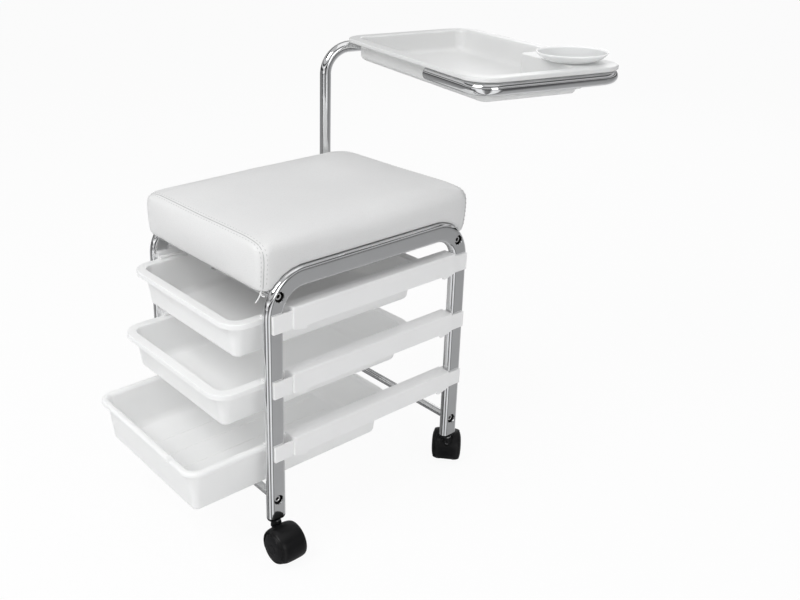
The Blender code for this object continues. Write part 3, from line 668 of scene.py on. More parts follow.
def runner(side, sign, level):
    """Rim channel, a pad lapping each leg and the hollow bar between the legs."""
    name = f"runner_{side}_{level}"
    low, high = span(name)
    top, bottom = high[2] - 5.0, low[2] + 1.5
    rim = span("pull_out_tray_" + level)[1][2]
    groove_low, groove_high = rim - (RIM_LIP + 0.5), rim + 0.6
    out = FRAME_X + 5.0

    # outlines are (x, z); drawn-in ones shrink by a given amount towards a piece's end
    channel = [
        (WEB_OUT, bottom), (WEB_OUT, top), (WEB_IN, top), (WEB_IN, groove_high + 2.4),
        (FLANGE, groove_high + 2.4), (FLANGE, groove_high), (WEB_IN, groove_high),
        (WEB_IN, groove_low), (FLANGE, groove_low), (FLANGE, groove_low - 2.4),
        (WEB_IN, groove_low - 2.4), (WEB_IN, bottom),
    ]
    bar = [
        (out, bottom + 0.4), (out, top + 3.2), (out - 0.5, top + 4.5), (out - 1.8, top + 5.0),
        (WEB_IN + 1.6, top + 5.0), (WEB_IN + 0.4, top + 3.8), (WEB_IN + 0.4, top - 4.0),
        (WEB_OUT - 0.4, top - 4.0), (WEB_OUT - 0.4, top + 2.2), (out - 3.0, top + 2.2),
        (out - 3.0, bottom + 0.4),
    ]

    def bar_end(shrink):
        side_x, foot = out - shrink, bottom + 0.4 + shrink * 0.5
        return [(side_x, foot), (side_x, top + 3.2 - shrink), (side_x - 0.5, top + 4.5 - shrink),
                (side_x - 1.8, top + 5.0 - shrink), (WEB_IN + 1.6, top + 5.0 - shrink),
                (WEB_IN + 0.8, top + 4.0 - shrink), (WEB_IN + 0.8, foot)]

    def pad(shrink):
        inner, outer = FRAME_X + 0.3, FRAME_X + 2.7 - shrink
        foot, head = bottom + shrink * 0.4, top - shrink * 0.4
        return [(inner, foot), (outer, foot), (outer, head), (inner, head)]

    def place(x, z, y):
        return sign * x, y, z

    # (outline function, [(y, shrink), ...])
    drawn_in = [
        (bar_end, [(BAR_FRONT, 1.9), (BAR_FRONT + 0.35, 0.95), (BAR_FRONT + 1.1, 0.3),
                   (BAR_FRONT + 2.3, 0.0), (BAR_FRONT + 3.2, 0.0)]),
        (bar_end, [(BAR_REAR - 3.0, 0.0), (BAR_REAR - 2.2, 0.0), (BAR_REAR - 1.2, 0.3),
                   (BAR_REAR - 0.5, 0.8), (BAR_REAR, 1.4)]),
        (pad, [(PAD_FRONT, 1.0), (PAD_FRONT + 0.5, 0.4), (PAD_FRONT + 1.4, 0.0),
               (BAR_FRONT - 1.8, 0.0), (BAR_FRONT - 1.0, 0.9), (BAR_FRONT + 1.5, 1.2)]),
        (pad, [(BAR_REAR - 2.0, 0.0), (PAD_REAR - 1.4, 0.0), (PAD_REAR - 0.5, 0.4),
               (PAD_REAR, 1.0)]),
    ]
    pieces = [prism(bar, (BAR_FRONT + 2.0, BAR_REAR), place)]
    for outline, stations in drawn_in:
        pieces.append(sweep([(outline(shrink), y) for y, shrink in stations], place))
    for flip, start in ((1, BAR_FRONT + 1.0), (-1, BAR_REAR - 1.0)):
        # small hook under the bar's end, (y, z)
        hook = [(start, bottom + 3.0), (start, bottom + 0.2), (start + flip * 17.0, bottom - 4.4),
                (start + flip * 20.6, bottom - 4.8), (start + flip * 22.6, bottom - 3.6),
                (start + flip * 23.4, bottom + 3.0)]
        pieces.append(prism(hook, (out - 2.7, out - 0.35), along_x(0, 0, sign)))
    rail = mesh_obj(f"rail_{side}_{level}", prism(channel, (PAD_FRONT, PAD_REAR + 3.0), place),
                    WHITE_GLOSS, sharp=16.0)
    join(rail, *[mesh_obj("j_rail", piece, WHITE_GLOSS) for piece in pieces])
    bevel(rail, 0.45, 2, 40)
    finish(rail, "frame", name, slot="white_plastic")


for side, sign in SIDES:
    for level in ("top", "middle", "bottom"):
        runner(side, sign, level)


# ======================= pull-out trays ==================================
def shell(profile, half_x, half_y, corner_r, centre, steps, place=upright):
    """Tray from a wall profile of (inset from the outer edge, z, arc reach)."""
    stations = []
    for inset, z in soften(profile, 5):
        outline = rounded(half_x - inset, half_y - inset, max(corner_r - inset, 8.0), steps)
        stations.append(([(centre[0] + x, centre[1] + y) for x, y in outline], z))
    return sweep(stations, place)


def bottom_tray_details(tray, front, rear, top, floor):
    """Thumb notch in the front rim and four low floor ridges; outlines are (x, z)."""
    def along_y(x, z, y):
        return x, y, z

    notch = [(73.0, top + 1.0), (87.0, top + 1.0), (85.6, top - 1.6), (84.8, top - 6.0),
             (82.0, top - 7.6), (78.0, top - 3.6)]
    carve(tray, mesh_obj("c_notch", prism(notch, (front - 2, front + 16), along_y), WHITE))
    for x in (-62.0, -21.0, 21.0, 62.0):
        ridge = [(x - 1.5, floor + 2.2), (x - 0.9, floor + 3.1), (x, floor + 3.4),
                 (x + 0.9, floor + 3.1), (x + 1.5, floor + 2.2)]
        join(tray, mesh_obj("c_ridge", prism(ridge, (front + 38, rear - 38), along_y), WHITE))


def pull_out(level):
    name = "pull_out_tray_" + level
    low, high = span(name)
    half_x, half_y = (high[0] - low[0]) / 2, (high[1] - low[1]) / 2
    centre_y, top, bottom = (high[1] + low[1]) / 2, high[2], low[2]
    if level != "bottom":
        corner_r = 32.0
        profile = [
            (60.0, bottom), (27.0, bottom, 5.0), (20.6, bottom + 5.5, 3.0), (13.0, top - 2.4, 0.6),
            (2.2, top - 2.4, 0.5), (2.2, top - RIM_LIP, 0.6), (0.0, top - RIM_LIP, 0.6),
            (0.0, top, 1.6), (14.4, top, 1.8), (15.4, top - 1.4, 1.2), (22.6, bottom + 9.0, 5.0),
            (29.0, bottom + 2.3, 5.0), (60.0, bottom + 2.3),
        ]
    else:
        corner_r = 25.0
        profile = [
            (60.0, bottom), (21.5, bottom, 4.0), (16.2, bottom + 4.5, 3.0),
            (9.4, top - RIM_LIP + 0.4, 0.8), (1.6, top - RIM_LIP, 1.2),
            (0.0, top - RIM_LIP + 1.6, 1.5), (0.0, top - 2.2, 2.2), (2.6, top, 2.2),
            (8.4, top, 2.6), (11.6, top - 3.6, 3.0), (18.0, bottom + 9.0, 4.5),
            (23.5, bottom + 2.5, 5.0), (60.0, bottom + 2.5),
        ]
    shape = shell(profile, half_x, half_y, corner_r, (0.0, centre_y), 12)
    tray = mesh_obj("pull_out_" + level, shape, WHITE, sharp=40.0)
    if level == "bottom":
        bottom_tray_details(tray, centre_y - half_y, centre_y + half_y, top, bottom)
    bevel(tray, 0.35, 2, 40)
    finish(tray, "pull_out_" + level, name, slot="white_plastic")


for level in ("top", "middle", "bottom"):
    pull_out(level)

# ======================= tray arm ========================================
# The arm is laid out about its post, with Y running rearwards from it and X to the right,
# and is then swung clockwise, seen from above, by ARM_TURN degrees.
POST = tuple(middle("tray_arm_foot_plug")[:2])
ARM_R, ARM_WALL, ARM_TURN = 9.5, 1.5, 16.0
ARM_Z, ARM_FOOT = 657.0, 190.0
POST_BEND_R, LOOP_BEND_R = 45.0, 30.0
LOOP_FAR_Y, LOOP_NEAR_Y = 271.0, 43.0
LOOP_X, LOOP_END_X = 412.0, 276.0  # right-hand tube of the loop, and the tube's open end
TURN_COS, TURN_SIN = on_circle(1.0, ARM_TURN)


def swing(x, y, z):
    return POST[0] + x * TURN_COS + y * TURN_SIN, POST[1] - x * TURN_SIN + y * TURN_COS, z


def quarter(centre, start, end, radius, steps):
    """Quarter circle from the start direction to the end direction."""
    points = []
    for k in range(steps + 1):
        cos, sin = on_circle(1.0, 90.0 * k / steps)
        points.append(tuple(c + radius * (cos * s + sin * e)
                            for c, s, e in zip(centre, start, end)))
    return points


def arm_path():
    """Middle line: up the post, back, then round three sides of the loop and part of the last."""
    bend = LOOP_BEND_R
    path = [(0, 0, ARM_FOOT)]
    path += quarter((0, POST_BEND_R, ARM_Z - POST_BEND_R), (0, -1, 0), (0, 0, 1), POST_BEND_R, 24)
    for x, y, start, end in (
        (bend, LOOP_FAR_Y - bend, (-1, 0, 0), (0, 1, 0)),
        (LOOP_X - bend, LOOP_FAR_Y - bend, (0, 1, 0), (1, 0, 0)),
        (LOOP_X - bend, LOOP_NEAR_Y + bend, (1, 0, 0), (0, -1, 0)),
    ):
        path += quarter((x, y, ARM_Z), start, end, bend, 18)
    path.append((LOOP_END_X, LOOP_NEAR_Y, ARM_Z))
    return path


def tube_rings(path, radius):
    rings = []
    for i, point in enumerate(path):
        before, after = Vector(path[max(i - 1, 0)]), Vector(path[min(i + 1, len(path) - 1)])
        tangent = (after - before).normalized()
        on_post = point[1] <= POST_BEND_R + 1e-6 and point[0] < 1
        if abs(tangent.z) > 1e-6 or on_post:
            aside = Vector((1.0, 0.0, 0.0))
        else:
            aside = Vector((tangent.y, -tangent.x, 0.0))
        up = tangent.cross(aside)
        rings.append([swing(*(Vector(point) + aside * x + up * y)) for x, y in circle(radius, 48)])
    return rings


def arm_tube():
    path = arm_path()
    rings = tube_rings(path, ARM_R) + tube_rings(path, ARM_R - ARM_WALL)[::-1]
    tube = mesh_obj("arm_tube_polished", loft(rings, around=True), CHROME_ARM, sharp=40.0)
    finish(tube, "tray_arm", "tray_arm_tube", slot="chrome")


def arm_end_cap():
    end = LOOP_END_X
    profile = soften([
        (7.5, end + 12.0), (7.5, end - 0.3, 0.2), (9.4, end - 0.3, 0.2), (9.4, end - 1.6, 0.6),
        (7.6, end - 2.9, 1.2), (3.5, end - 3.4, 1.0), (0.05, end - 3.5)])
    shape = turned(profile, 40, lambda y, z, x: swing(x, LOOP_NEAR_Y + y, ARM_Z + z))
    finish(mesh_obj("arm_end_cap", shape, GREY), "tray_arm", "tray_arm_end_cap",
           slot="black_plastic")


def arm_foot_plug():
    foot = ARM_FOOT
    profile = soften([
        (0.05, foot - 5.0), (5.0, foot - 5.0, 1.0), (8.4, foot - 4.2, 1.0), (9.4, foot - 2.6, 0.8),
        (9.4, foot - 0.3, 0.2), (7.5, foot - 0.3, 0.2), (7.5, foot + 14.0)])
    finish(mesh_obj("arm_foot_plug", lathe(profile, 40, POST), BLACK), "tray_arm",
           "tray_arm_foot_plug", slot="black_plastic")


def arm_stop_collar():
    low, high = span("tray_arm_stop_collar")
    bottom, top = low[2], high[2]
    profile = [(9.8, bottom), (12.2, bottom), (12.2, top - 1.0), (11.4, top), (9.8, top)]
    collar = mesh_obj("arm_stop_collar", lathe(profile, 56, POST, around=True), BLACK)
    bevel(collar, 0.5, 3)
    finish(collar, "tray_arm", "tray_arm_stop_collar", slot="black_plastic")


arm_tube()
arm_end_cap()
arm_foot_plug()
arm_stop_collar()
for tag in ("upper", "lower"):
    keep_cad("tray_arm_clip_" + tag, CHROME, 0.5, 3, 40)

# ======================= tool tray =======================================
TRAY_TOP, TRAY_BOTTOM = 673.4, 635.0
TRAY_SEAT = 666.9  # underside of the rim, on top of the arm tube
TRAY_EDGE = 9.0  # rim beyond the middle of the arm tube
TRAY_CORNER_R = LOOP_BEND_R + TRAY_EDGE
DECK_Z = 673.1  # flat deck in the tray's far right corner
DECK_X, DECK_Y, DECK_CORNER_R = 262.0, 204.0, 14.0
BOWL_CENTRE = swing(354.0, 231.0, 0)[:2]
WELL_R = 25.0


def deck_edge(inset, far_x, far_y):
    """The deck's edges within the tray, round the corner nearest the post."""
    radius = DECK_CORNER_R - inset
    corner = []
    for angle in range(0, 91, 10):
        cos, sin = on_circle(radius, angle)
        corner.append((DECK_X + inset + radius - sin, DECK_Y + inset + radius - cos))
    return [(far_x, DECK_Y + inset)] + corner + [(DECK_X + inset, far_y)]


def deck_outline(wall_inset, edge_inset):
    far_x, far_y = LOOP_X + TRAY_EDGE - wall_inset, LOOP_FAR_Y + TRAY_EDGE - wall_inset
    radius = TRAY_CORNER_R - wall_inset
    corner = []
    for angle in range(90, -1, -10):
        cos, sin = on_circle(radius, angle)
        corner.append((far_x - radius + cos, far_y - radius + sin))
    return deck_edge(edge_inset, far_x, far_y) + corner


def tool_tray():
    bottom, top = TRAY_BOTTOM, TRAY_TOP
    profile = [
        (60.0, bottom), (27.5, bottom, 5.0), (20.8, bottom + 6.5, 3.0), (19.6, TRAY_SEAT, 1.0),
        (0.8, TRAY_SEAT, 1.2), (0.0, TRAY_SEAT + 1.0, 1.2), (0.0, top, 2.0), (18.8, top, 2.2),
        (21.4, top - 2.2, 1.6), (23.4, bottom + 8.0, 5.0), (31.0, bottom + 2.6, 5.0),
        (60.0, bottom + 2.6),
    ]
    half_x = (LOOP_X + 2 * TRAY_EDGE) / 2
    half_y = (LOOP_FAR_Y - LOOP_NEAR_Y + 2 * TRAY_EDGE) / 2
    centre = (LOOP_X / 2, (LOOP_FAR_Y + LOOP_NEAR_Y) / 2)
    tray = mesh_obj("work_tray", shell(profile, half_x, half_y, TRAY_CORNER_R, centre, 14, swing),
                    WHITE_TOP, sharp=40.0)

    # (inset from the tray's outer edge, inset of the deck's own edge, z)
    deck = [
        (25.5, 0.0, bottom + 1.8), (22.2, 0.0, bottom + 7.5), (20.9, 0.0, TRAY_SEAT + 0.6),
        (18.6, 0.0, DECK_Z - 1.4), (17.4, 0.5, DECK_Z - 0.4), (17.0, 1.5, DECK_Z),
    ]
    shape = sweep([(deck_outline(wall, edge), z) for wall, edge, z in deck], swing)
    join(tray, mesh_obj("c_deck", shape, WHITE_TOP))
    # the deck is hollow from below
    beyond = (LOOP_X + 30, LOOP_FAR_Y + 30)
    hollow = deck_edge(2.6, *beyond) + [beyond]
    shape = prism(hollow, (bottom - 12, TRAY_SEAT - 0.5), swing)
    carve(tray, mesh_obj("c_under", shape, WHITE_TOP))
    well = [(WELL_R, bottom - 12), (WELL_R, DECK_Z - 1.0), (WELL_R + 0.4, DECK_Z - 0.3),
            (WELL_R + 1.4, DECK_Z + 0.3), (WELL_R + 1.4, top + 3.0)]
    carve(tray, mesh_obj("c_well", lathe(well, 72, BOWL_CENTRE), WHITE_TOP))
    bevel(tray, 0.35, 2, 40)
    finish(tray, "tool_tray_body", "tool_tray", slot="white_plastic")


def bowl():
    seat = DECK_Z + 0.3
    # (radius, z, arc reach): up the outside, over the rim and down the inside
    profile = soften([
        (0.05, 635.2), (14.0, 634.6, 3.0), (18.8, 635.8, 2.0), (21.4, 639.4, 2.5),
        (22.6, 648.0, 3.0), (24.0, seat, 0.8), (28.4, seat, 1.5), (36.0, 675.4, 5.0),
        (43.6, 679.1, 5.0), (48.4, 683.4, 3.0), (50.2, 686.3, 1.0), (49.9, 687.0, 0.5),
        (48.7, 687.0, 0.6), (46.6, 684.3, 3.0), (42.0, 680.8, 5.0), (34.8, 677.4, 5.0),
        (26.8, 675.4, 3.0), (22.8, 671.0, 3.0), (21.0, 660.0, 3.0), (19.6, 643.0, 3.0),
        (17.0, 638.6, 2.5), (12.0, 637.0, 3.0), (0.05, 637.6),
    ], 5)
    finish(mesh_obj("round_bowl", lathe(profile, 96, BOWL_CENTRE), BOWL, sharp=50.0),
           "tool_bowl_body", "tool_bowl", slot="translucent_white")


tool_tray()
bowl()

# ======================= casters =========================================
TRAIL, AXLE_Z = 21.0, 25.0
# heading of each caster's axle from its stem, degrees from +X towards +Y
CASTERS = {"front_right": 0.0, "rear_right": 132.0, "front_left": 20.0, "rear_left": 150.0}


def stem(tag, centre):
    top = span("caster_stem_" + tag)[1][2]
    profile = soften([
        (0.05, 40.0), (3.95, 40.0, 0.6), (3.95, 53.8, 0.3), (6.6, 53.8, 0.5), (6.6, 55.6, 0.5),
        (3.95, 55.6, 0.3), (3.95, top - 1.5, 0.8), (3.0, top, 0.5), (0.05, top)])
    finish(mesh_obj("stem_" + tag, lathe(profile, 40, centre), STEEL), "caster_" + tag,
           "caster_stem_" + tag, slot="screw_steel")


def hood(tag, centre, on_axle):
    """Barrel cover over both wheels, with a web between them and a neck round the stem."""
    steps = 64
    angles = [-28 + 236 * k / steps for k in range(steps + 1)]

    def section(outer, inner):
        return ([on_circle(outer, angle) for angle in angles]
                + [on_circle(inner, angle) for angle in angles[::-1]])

    # (outer radius, inner radius, distance from the middle); the open edges are rolled
    crown = [(24.4, 23.9, 20.9), (24.9, 24.1, 20.7), (25.6, 24.5, 20.0), (26.3, 25.0, 18.6),
             (27.0, 25.4, 16.4), (27.5, 25.6, 13.6), (27.9, 25.8, 8.5)]
    stations = [(section(outer, inner), -along) for outer, inner, along in crown]
    stations.append((section(28.0, 25.8), 0))
    stations += [(section(outer, inner), along) for outer, inner, along in crown[::-1]]
    cover = mesh_obj("hood_" + tag, sweep(stations, on_axle), BLACK, sharp=40.0)
    web = [on_circle(26.8, angle) for angle in angles]
    neck = [(8.2, 44.0), (7.9, 49.0), (7.4, 51.8), (6.6, 53.4)]
    join(cover, mesh_obj("j_web", prism(web, (-5.8, 5.8), on_axle), BLACK),
         mesh_obj("j_neck", lathe(neck, 48, centre), BLACK))
    carve(cover, mesh_obj("c_stem", lathe([(4.3, 38.0), (4.3, 60.0)], 40, centre), BLACK))
    carve(cover, mesh_obj("c_axle", turned([(2.8, -30), (2.8, 30)], 32, on_axle), BLACK))
    bevel(cover, 0.4, 2, 40)
    finish(cover, "caster_" + tag, "caster_hood_" + tag, slot="black_plastic")


def axle(tag, on_axle):
    profile = soften([(0.05, -17.0), (2.5, -17.0, 0.4), (2.5, 17.0, 0.4), (0.05, 17.0)])
    finish(mesh_obj("axle_" + tag, turned(profile, 24, on_axle), STEEL), "caster_" + tag,
           "caster_axle_" + tag, slot="screw_steel")


def wheel(tag, side, sign, on_axle, axis):
    # (radius, distance from the caster's middle, arc reach), from the axle bore outwards
    profile = soften([
        (0.05, 17.6), (2.9, 17.6, 0.2), (2.9, 6.3, 0.3), (22.6, 6.3, 1.5), (24.6, 8.6, 2.0),
        (25.0, 12.0, 2.0), (24.6, 16.0, 2.0), (23.7, 19.0, 1.8), (22.4, 21.2, 1.2),
        (21.6, 22.0, 0.6), (21.2, 21.8, 0.4), (20.9, 21.0, 0.4), (20.2, 21.0, 0.4),
        (19.7, 22.4, 0.6), (15.0, 23.5, 3.0), (8.2, 24.1, 1.0), (7.6, 23.4, 0.4),
        (7.0, 24.1, 0.4), (0.05, 24.3),
    ], 4)
    shape = turned(profile, 72, lambda out, up, along: on_axle(out, up, sign * along))
    obj = mesh_obj(f"wheel_{side}_{tag}", shape, TREAD, DISC, sharp=40.0)
    hub = Vector(on_axle(0, 0, 0)) * MM
    for face in obj.data.polygons:
        offset = face.center - hub
        along = offset.dot(axis)
        if (offset - axis * along).length < 0.0214 and along * sign > 0.018:
            face.material_index = 1
    finish(obj, f"wheel_{side}_{tag}", f"caster_wheel_{side}_{tag}", slot="black_plastic")


def caster(tag, angle):
    centre = middle("caster_stem_" + tag)[:2]
    cos, sin = on_circle(1.0, angle)

    def on_axle(out, up, along):
        """Place of a point given from the middle of the axle."""
        ahead = TRAIL + out
        return (centre[0] + ahead * cos - along * sin, centre[1] + ahead * sin + along * cos,
                AXLE_Z + up)

    stem(tag, centre)
    hood(tag, centre, on_axle)
    axle(tag, on_axle)
    for side, sign in (("a", -1), ("b", 1)):
        wheel(tag, side, sign, on_axle, Vector((-sin, cos, 0)))


def leg_end_plug(tag):
    centre_x, centre_y, _ = middle("leg_end_plug_" + tag)
    # (half along Y, half along X, z, corner radius)
    sections = [
        (10.6, 4.4, 55.9, 4.2), (11.5, 5.2, 56.0, 5.0), (12.9, 6.2, 56.8, 6.0),
        (14.0, 6.9, 58.0, 6.7), (14.7, 7.3, 59.4, 7.1), (15.0, 7.5, 60.8, 7.3),
        (15.0, 7.5, LEG_BOTTOM - 0.5, 7.3), (14.8, 7.3, LEG_BOTTOM - 0.25, 7.1),
        (13.2, 5.7, LEG_BOTTOM - 0.25, 5.5), (13.2, 5.7, 81.0, 5.5), (12.4, 5.0, 82.0, 4.8),
    ]
    stations = [(rounded(half_y, half_x, corner, 7), z) for half_y, half_x, z, corner in sections]
    shape = sweep(stations, lambda y, x, z: (centre_x + x, centre_y + y, z))
    plug = mesh_obj("end_plug_" + tag, shape, BLACK, sharp=45.0)
    socket = lathe([(4.3, 50.0), (4.3, 79.0)], 40, (centre_x, centre_y))
    carve(plug, mesh_obj("c_socket", socket, BLACK))
    finish(plug, "frame", "leg_end_plug_" + tag, slot="black_plastic")


for tag, angle in CASTERS.items():
    caster(tag, angle)
for tag in CASTERS:
    leg_end_plug(tag)


# ======================= seat board and its screws =======================
def board_screw(end):
    low, high = span("seat_board_screw_" + end)
    y, seat, top = (low[1] + high[1]) / 2, low[2] + 3.2, high[2]
    profile = soften([
        (0.05, seat - 3.2), (3.4, seat - 3.2, 0.8), (4.8, seat - 2.2, 0.8), (4.8, seat, 0.3),
        (2.0, seat, 0.2), (2.0, top - 1.0, 0.4), (0.05, top)])
    finish(mesh_obj("board_screw_" + end, lathe(profile, 40, (0, y)), STEEL), "frame",
           "seat_board_screw_" + end, slot="screw_steel")


keep_cad("seat_board", WOOD, 0.5, 2, 30)
for end in ("front", "rear"):
    board_screw(end)

# ======================= cushion =========================================
SEAM_Y = 189.0
GROOVE_X = 142.4
COVER_INSET = 2.5  # the start shape lies this far inside, leaving room to swell
MAX_SWELL = 0.0065  # metres
BEND_Y, BEND_Z = FRAME_Y - OUTER_BEND_R, FRAME_TOP - OUTER_BEND_R


def over_frame(y, z):
    """Distance in mm of (y, z) outside the side frames' outer outline, negative behind it."""
    if abs(y) <= BEND_Y:
        return z - FRAME_TOP
    if z <= BEND_Z:
        return abs(y) - FRAME_Y
    return math.hypot(abs(y) - BEND_Y, z - BEND_Z) - OUTER_BEND_R


def side_limit(y, z):
    """How wide the cover may be here: full width, rolled in where it sits on a tube."""
    share = max(0.0, (over_frame(y, z) - 0.3) / 12.0)
    if share >= 1.0:
        return 160.0
    return 150.0 + 7.5 * math.sqrt(1 - (1 - share) ** 2)


def cushion_base():
    # (half x, half y, z, corner radius, share of the inset taken off x, y and z)
    sections = [
        (144.0, 189.0, 413.2, 11.0, 1, 1, 0), (151.0, 195.0, 414.0, 14.0, 1, 1, 0),
        (154.0, 198.4, 418.0, 16.0, 1, 1, 0), (155.2, 199.8, 428.0, 17.0, 1, 1, 0),
        (156.4, 200.2, 444.4, 17.0, 1, 1, 0), (157.6, 200.4, 458.0, 18.0, 1, 1, 0),
        (157.4, 200.2, 468.0, 18.0, 1, 1, 0), (154.8, 199.8, 476.5, 20.0, 1, 1, 0),
        (149.0, 197.6, 482.6, 23.0, 1, 1, 0.4), (138.0, 191.0, 486.6, 30.0, 1, 1, 0.6),
        (118.0, 176.0, 488.8, 40.0, 1, 0, 0.7), (80.0, 136.0, 490.4, 50.0, 0, 0, 0.8),
        (30.0, 60.0, 491.0, 24.0, 0, 0, 0.8),
    ]
    stations = []
    for half_x, half_y, z, corner, share_x, share_y, share_z in sections:
        outline = rounded(half_x - COVER_INSET * share_x, half_y - COVER_INSET * share_y,
                          corner, 10)
        stations.append((outline, z - COVER_INSET * share_z))
    return sweep(stations)


def even_mesh(obj):
    remesh = obj.modifiers.new("remesh", "REMESH")
    remesh.mode = "VOXEL"
    remesh.voxel_size = 0.0048
    remesh.use_smooth_shade = True
    smooth = obj.modifiers.new("even", "SMOOTH")
    smooth.factor, smooth.iterations = 0.5, 3
    bake(obj)


def swell(obj):
    """Blows the cover up as cloth; the underside and the two seams hold."""
    pin = obj.vertex_groups.new(name="pin")
    for vertex in obj.data.vertices:
        x, y, z = (c / MM for c in vertex.co)
        weight = 0.0
        if z < 419.0:
            weight = 1.0
        elif abs(x) > 120.0 and over_frame(y, z) < 3.0:
            weight = 0.9
        if abs(abs(y) - SEAM_Y) < 2.6 and z > 420.0:
            weight = 1.0
        if weight:
            pin.add([vertex.index], weight, "REPLACE")
    cloth = obj.modifiers.new("cloth", "CLOTH")
    settings = cloth.settings
    settings.quality = 6
    settings.mass = 0.35
    settings.tension_stiffness = settings.compression_stiffness = 18.0
    settings.shear_stiffness = 8.0
    settings.bending_stiffness = 2.0
    settings.use_pressure = True
    settings.uniform_pressure_force = 4.0
    settings.vertex_group_mass = "pin"
    settings.effector_weights.gravity = 0.0
    cloth.collision_settings.use_collision = False
    cloth.collision_settings.use_self_collision = False
    scene.frame_start, scene.frame_end = 1, 24
    for step in range(1, 21):
        scene.frame_set(step)
    bake(obj)
    scene.frame_set(1)


def shape_cover(obj, rest):
    """Bounds the swelling, crowns the top, draws in the seams and keeps clear of the tubes."""
    for vertex, start in zip(obj.data.vertices, rest):
        shift = vertex.co - start
        if shift.length > MAX_SWELL:
            shift = shift.normalized() * MAX_SWELL
        x, y, z = (c / MM for c in start + shift)
        if z > 470:
            z += 1.6 * (max(0.0, 1 - (x / 150) ** 2) * max(0.0, 1 - (y / 185) ** 2))
        off_seam = abs(abs(y) - SEAM_Y)
        if off_seam < 5.0 and z > 420:
            pull = 2.2 * (1 - off_seam / 5.0) ** 2
            outward = Vector((x, 0, z - 450)).normalized()
            x, z = x - outward.x * pull, z - outward.z * pull
        if z < 413.6 or (z < 416.0 and abs(y) < 185.0):
            z = 413.2 + 2.4 * max(0.0, min(1.0, (190.0 - abs(y)) / 8.0))
        z = min(z, 492.2)
        x = max(-158.5, min(158.5, x))
        if abs(x) > side_limit(y, z):
            x = math.copysign(side_limit(y, z), x)
        vertex.co = Vector((x, y, z)) * MM


def refine_cover(obj):
    subdivision = obj.modifiers.new("sub", "SUBSURF")
    subdivision.levels = subdivision.render_levels = 1
    bake(obj)
    for vertex in obj.data.vertices:
        x, y, z = (c / MM for c in vertex.co)
        if abs(x) > side_limit(y, z):
            vertex.co.x = math.copysign(side_limit(y, z) * MM, x)
    for face in obj.data.polygons:
        face.use_smooth = True


def trim_cover(obj):
    """Cuts the recess for the seat board and the room for the side frames."""
    _, high = span("seat_board")
    recess = rounded(high[0] + 0.4, high[1] + 0.4, 10.0, 6)
    tools = [mesh_obj("c_board", prism(recess, (405.0, high[2] + 0.4)), VINYL)]
    radius = OUTER_BEND_R + 0.6
    outline = [(-BEND_Y - radius, 380.0)]
    for angle in range(6, 91, 4):
        cos, sin = on_circle(radius, angle)
        outline.append((-BEND_Y - cos, BEND_Z + sin))
    outline += [(-y, z) for y, z in outline[::-1]]
    for sign in (-1, 1):
        shape = prism(outline, (GROOVE_X + 0.5, 190.0), along_x(0, 0, sign))
        tools.append(mesh_obj("c_side", shape, VINYL))
    carve(obj, *tools)


def cushion():
    obj = mesh_obj("seat_cushion_vinyl", cushion_base(), VINYL, sharp=60.0)
    even_mesh(obj)
    rest = [vertex.co.copy() for vertex in obj.data.vertices]
    swell(obj)
    shape_cover(obj, rest)
    refine_cover(obj)
    trim_cover(obj)
    return obj


cover = cushion()
COVER_SURFACE = BVHTree.FromPolygons(
    [vertex.co.copy() for vertex in cover.data.vertices],
    [tuple(face.vertices) for face in cover.data.polygons])
finish(cover, "frame", "seat_cushion", slot="white_vinyl")


# ---- seams and stitches; their paths on the cover are in metres ----------
def girth(y):
    """Points and normals round the cover at one Y, from the right over the top to the left."""
    found = []
    steps = 400
    for k in range(steps + 1):
        cos, sin = on_circle(1.0, -28 + 236.0 * k / steps)
        outward = Vector((cos, 0, sin))
        start = Vector((0, y * MM, 0.452)) + outward * 0.30
        hit, normal = COVER_SURFACE.ray_cast(start, -outward)[:2]
        if hit is not None:
            found.append((hit, normal))
    return found


def resample(points, step):
    """The same path with even steps."""
    even, left = [points[0]], step
    for (start, start_normal), (end, end_normal) in zip(points[:-1], points[1:]):
        length = (end - start).length
        done = 0.0
        while length - done >= left:
            done += left
            share = done / length
            normal = start_normal.lerp(end_normal, share).normalized()
            even.append((start.lerp(end, share), normal))
            left = step
        left -= length - done
    return even


def thread_ring(centre, side, normal, half_wide, half_high):
    return [tuple((centre + side * half_wide * across + normal * half_high * up) / MM)
            for across, up in circle(1.0, 8)]


def stitches(name, row_y):
    """A row of short sunk thread loops along the cover's girth."""
    verts, faces = [], []
    path = [point for point in resample(girth(row_y), 0.0034) if point[0].z > 0.4235]
    for i in range(0, len(path) - 1, 2):
        (start, start_normal), (end, end_normal) = path[i], path[i + 1]
        normal = (start_normal + end_normal).normalized()
        along = (end - start).normalized()
        centre, half = (start + end) / 2, 0.0020
        side = normal.cross(along).normalized()
        rings = []
        for k in range(7):
            share = -1 + 2 * k / 6
            radius = 0.00050 * math.sqrt(max(0.04, 1 - share ** 4))
            lift = 0.00012 - 0.00055 * share * share
            spot = centre + along * half * share + normal * lift
            rings.append(thread_ring(spot, side, normal, radius, radius))
        base = len(verts)
        loop_verts, loop_faces = loft(rings)
        verts += loop_verts
        faces += [tuple(j + base for j in face) for face in loop_faces]
    finish(mesh_obj(name, (verts, faces), THREAD, sharp=60.0), "frame", slot="white_vinyl")


def seam_line(name, row_y):
    """Painted shadow along the joint between two panels: a thin dark cord sunk in its valley."""
    path = [point for point in resample(girth(row_y), 0.004) if point[0].z > 0.4165]
    rings = []
    for i, (centre, normal) in enumerate(path):
        before, after = path[max(i - 1, 0)][0], path[min(i + 1, len(path) - 1)][0]
        side = normal.cross((after - before).normalized()).normalized()
        rings.append(thread_ring(centre - normal * 0.00022, side, normal, 0.0008, 0.00042))
    finish(mesh_obj(name, loft(rings), SEAM, sharp=60.0), "frame", slot="white_vinyl")


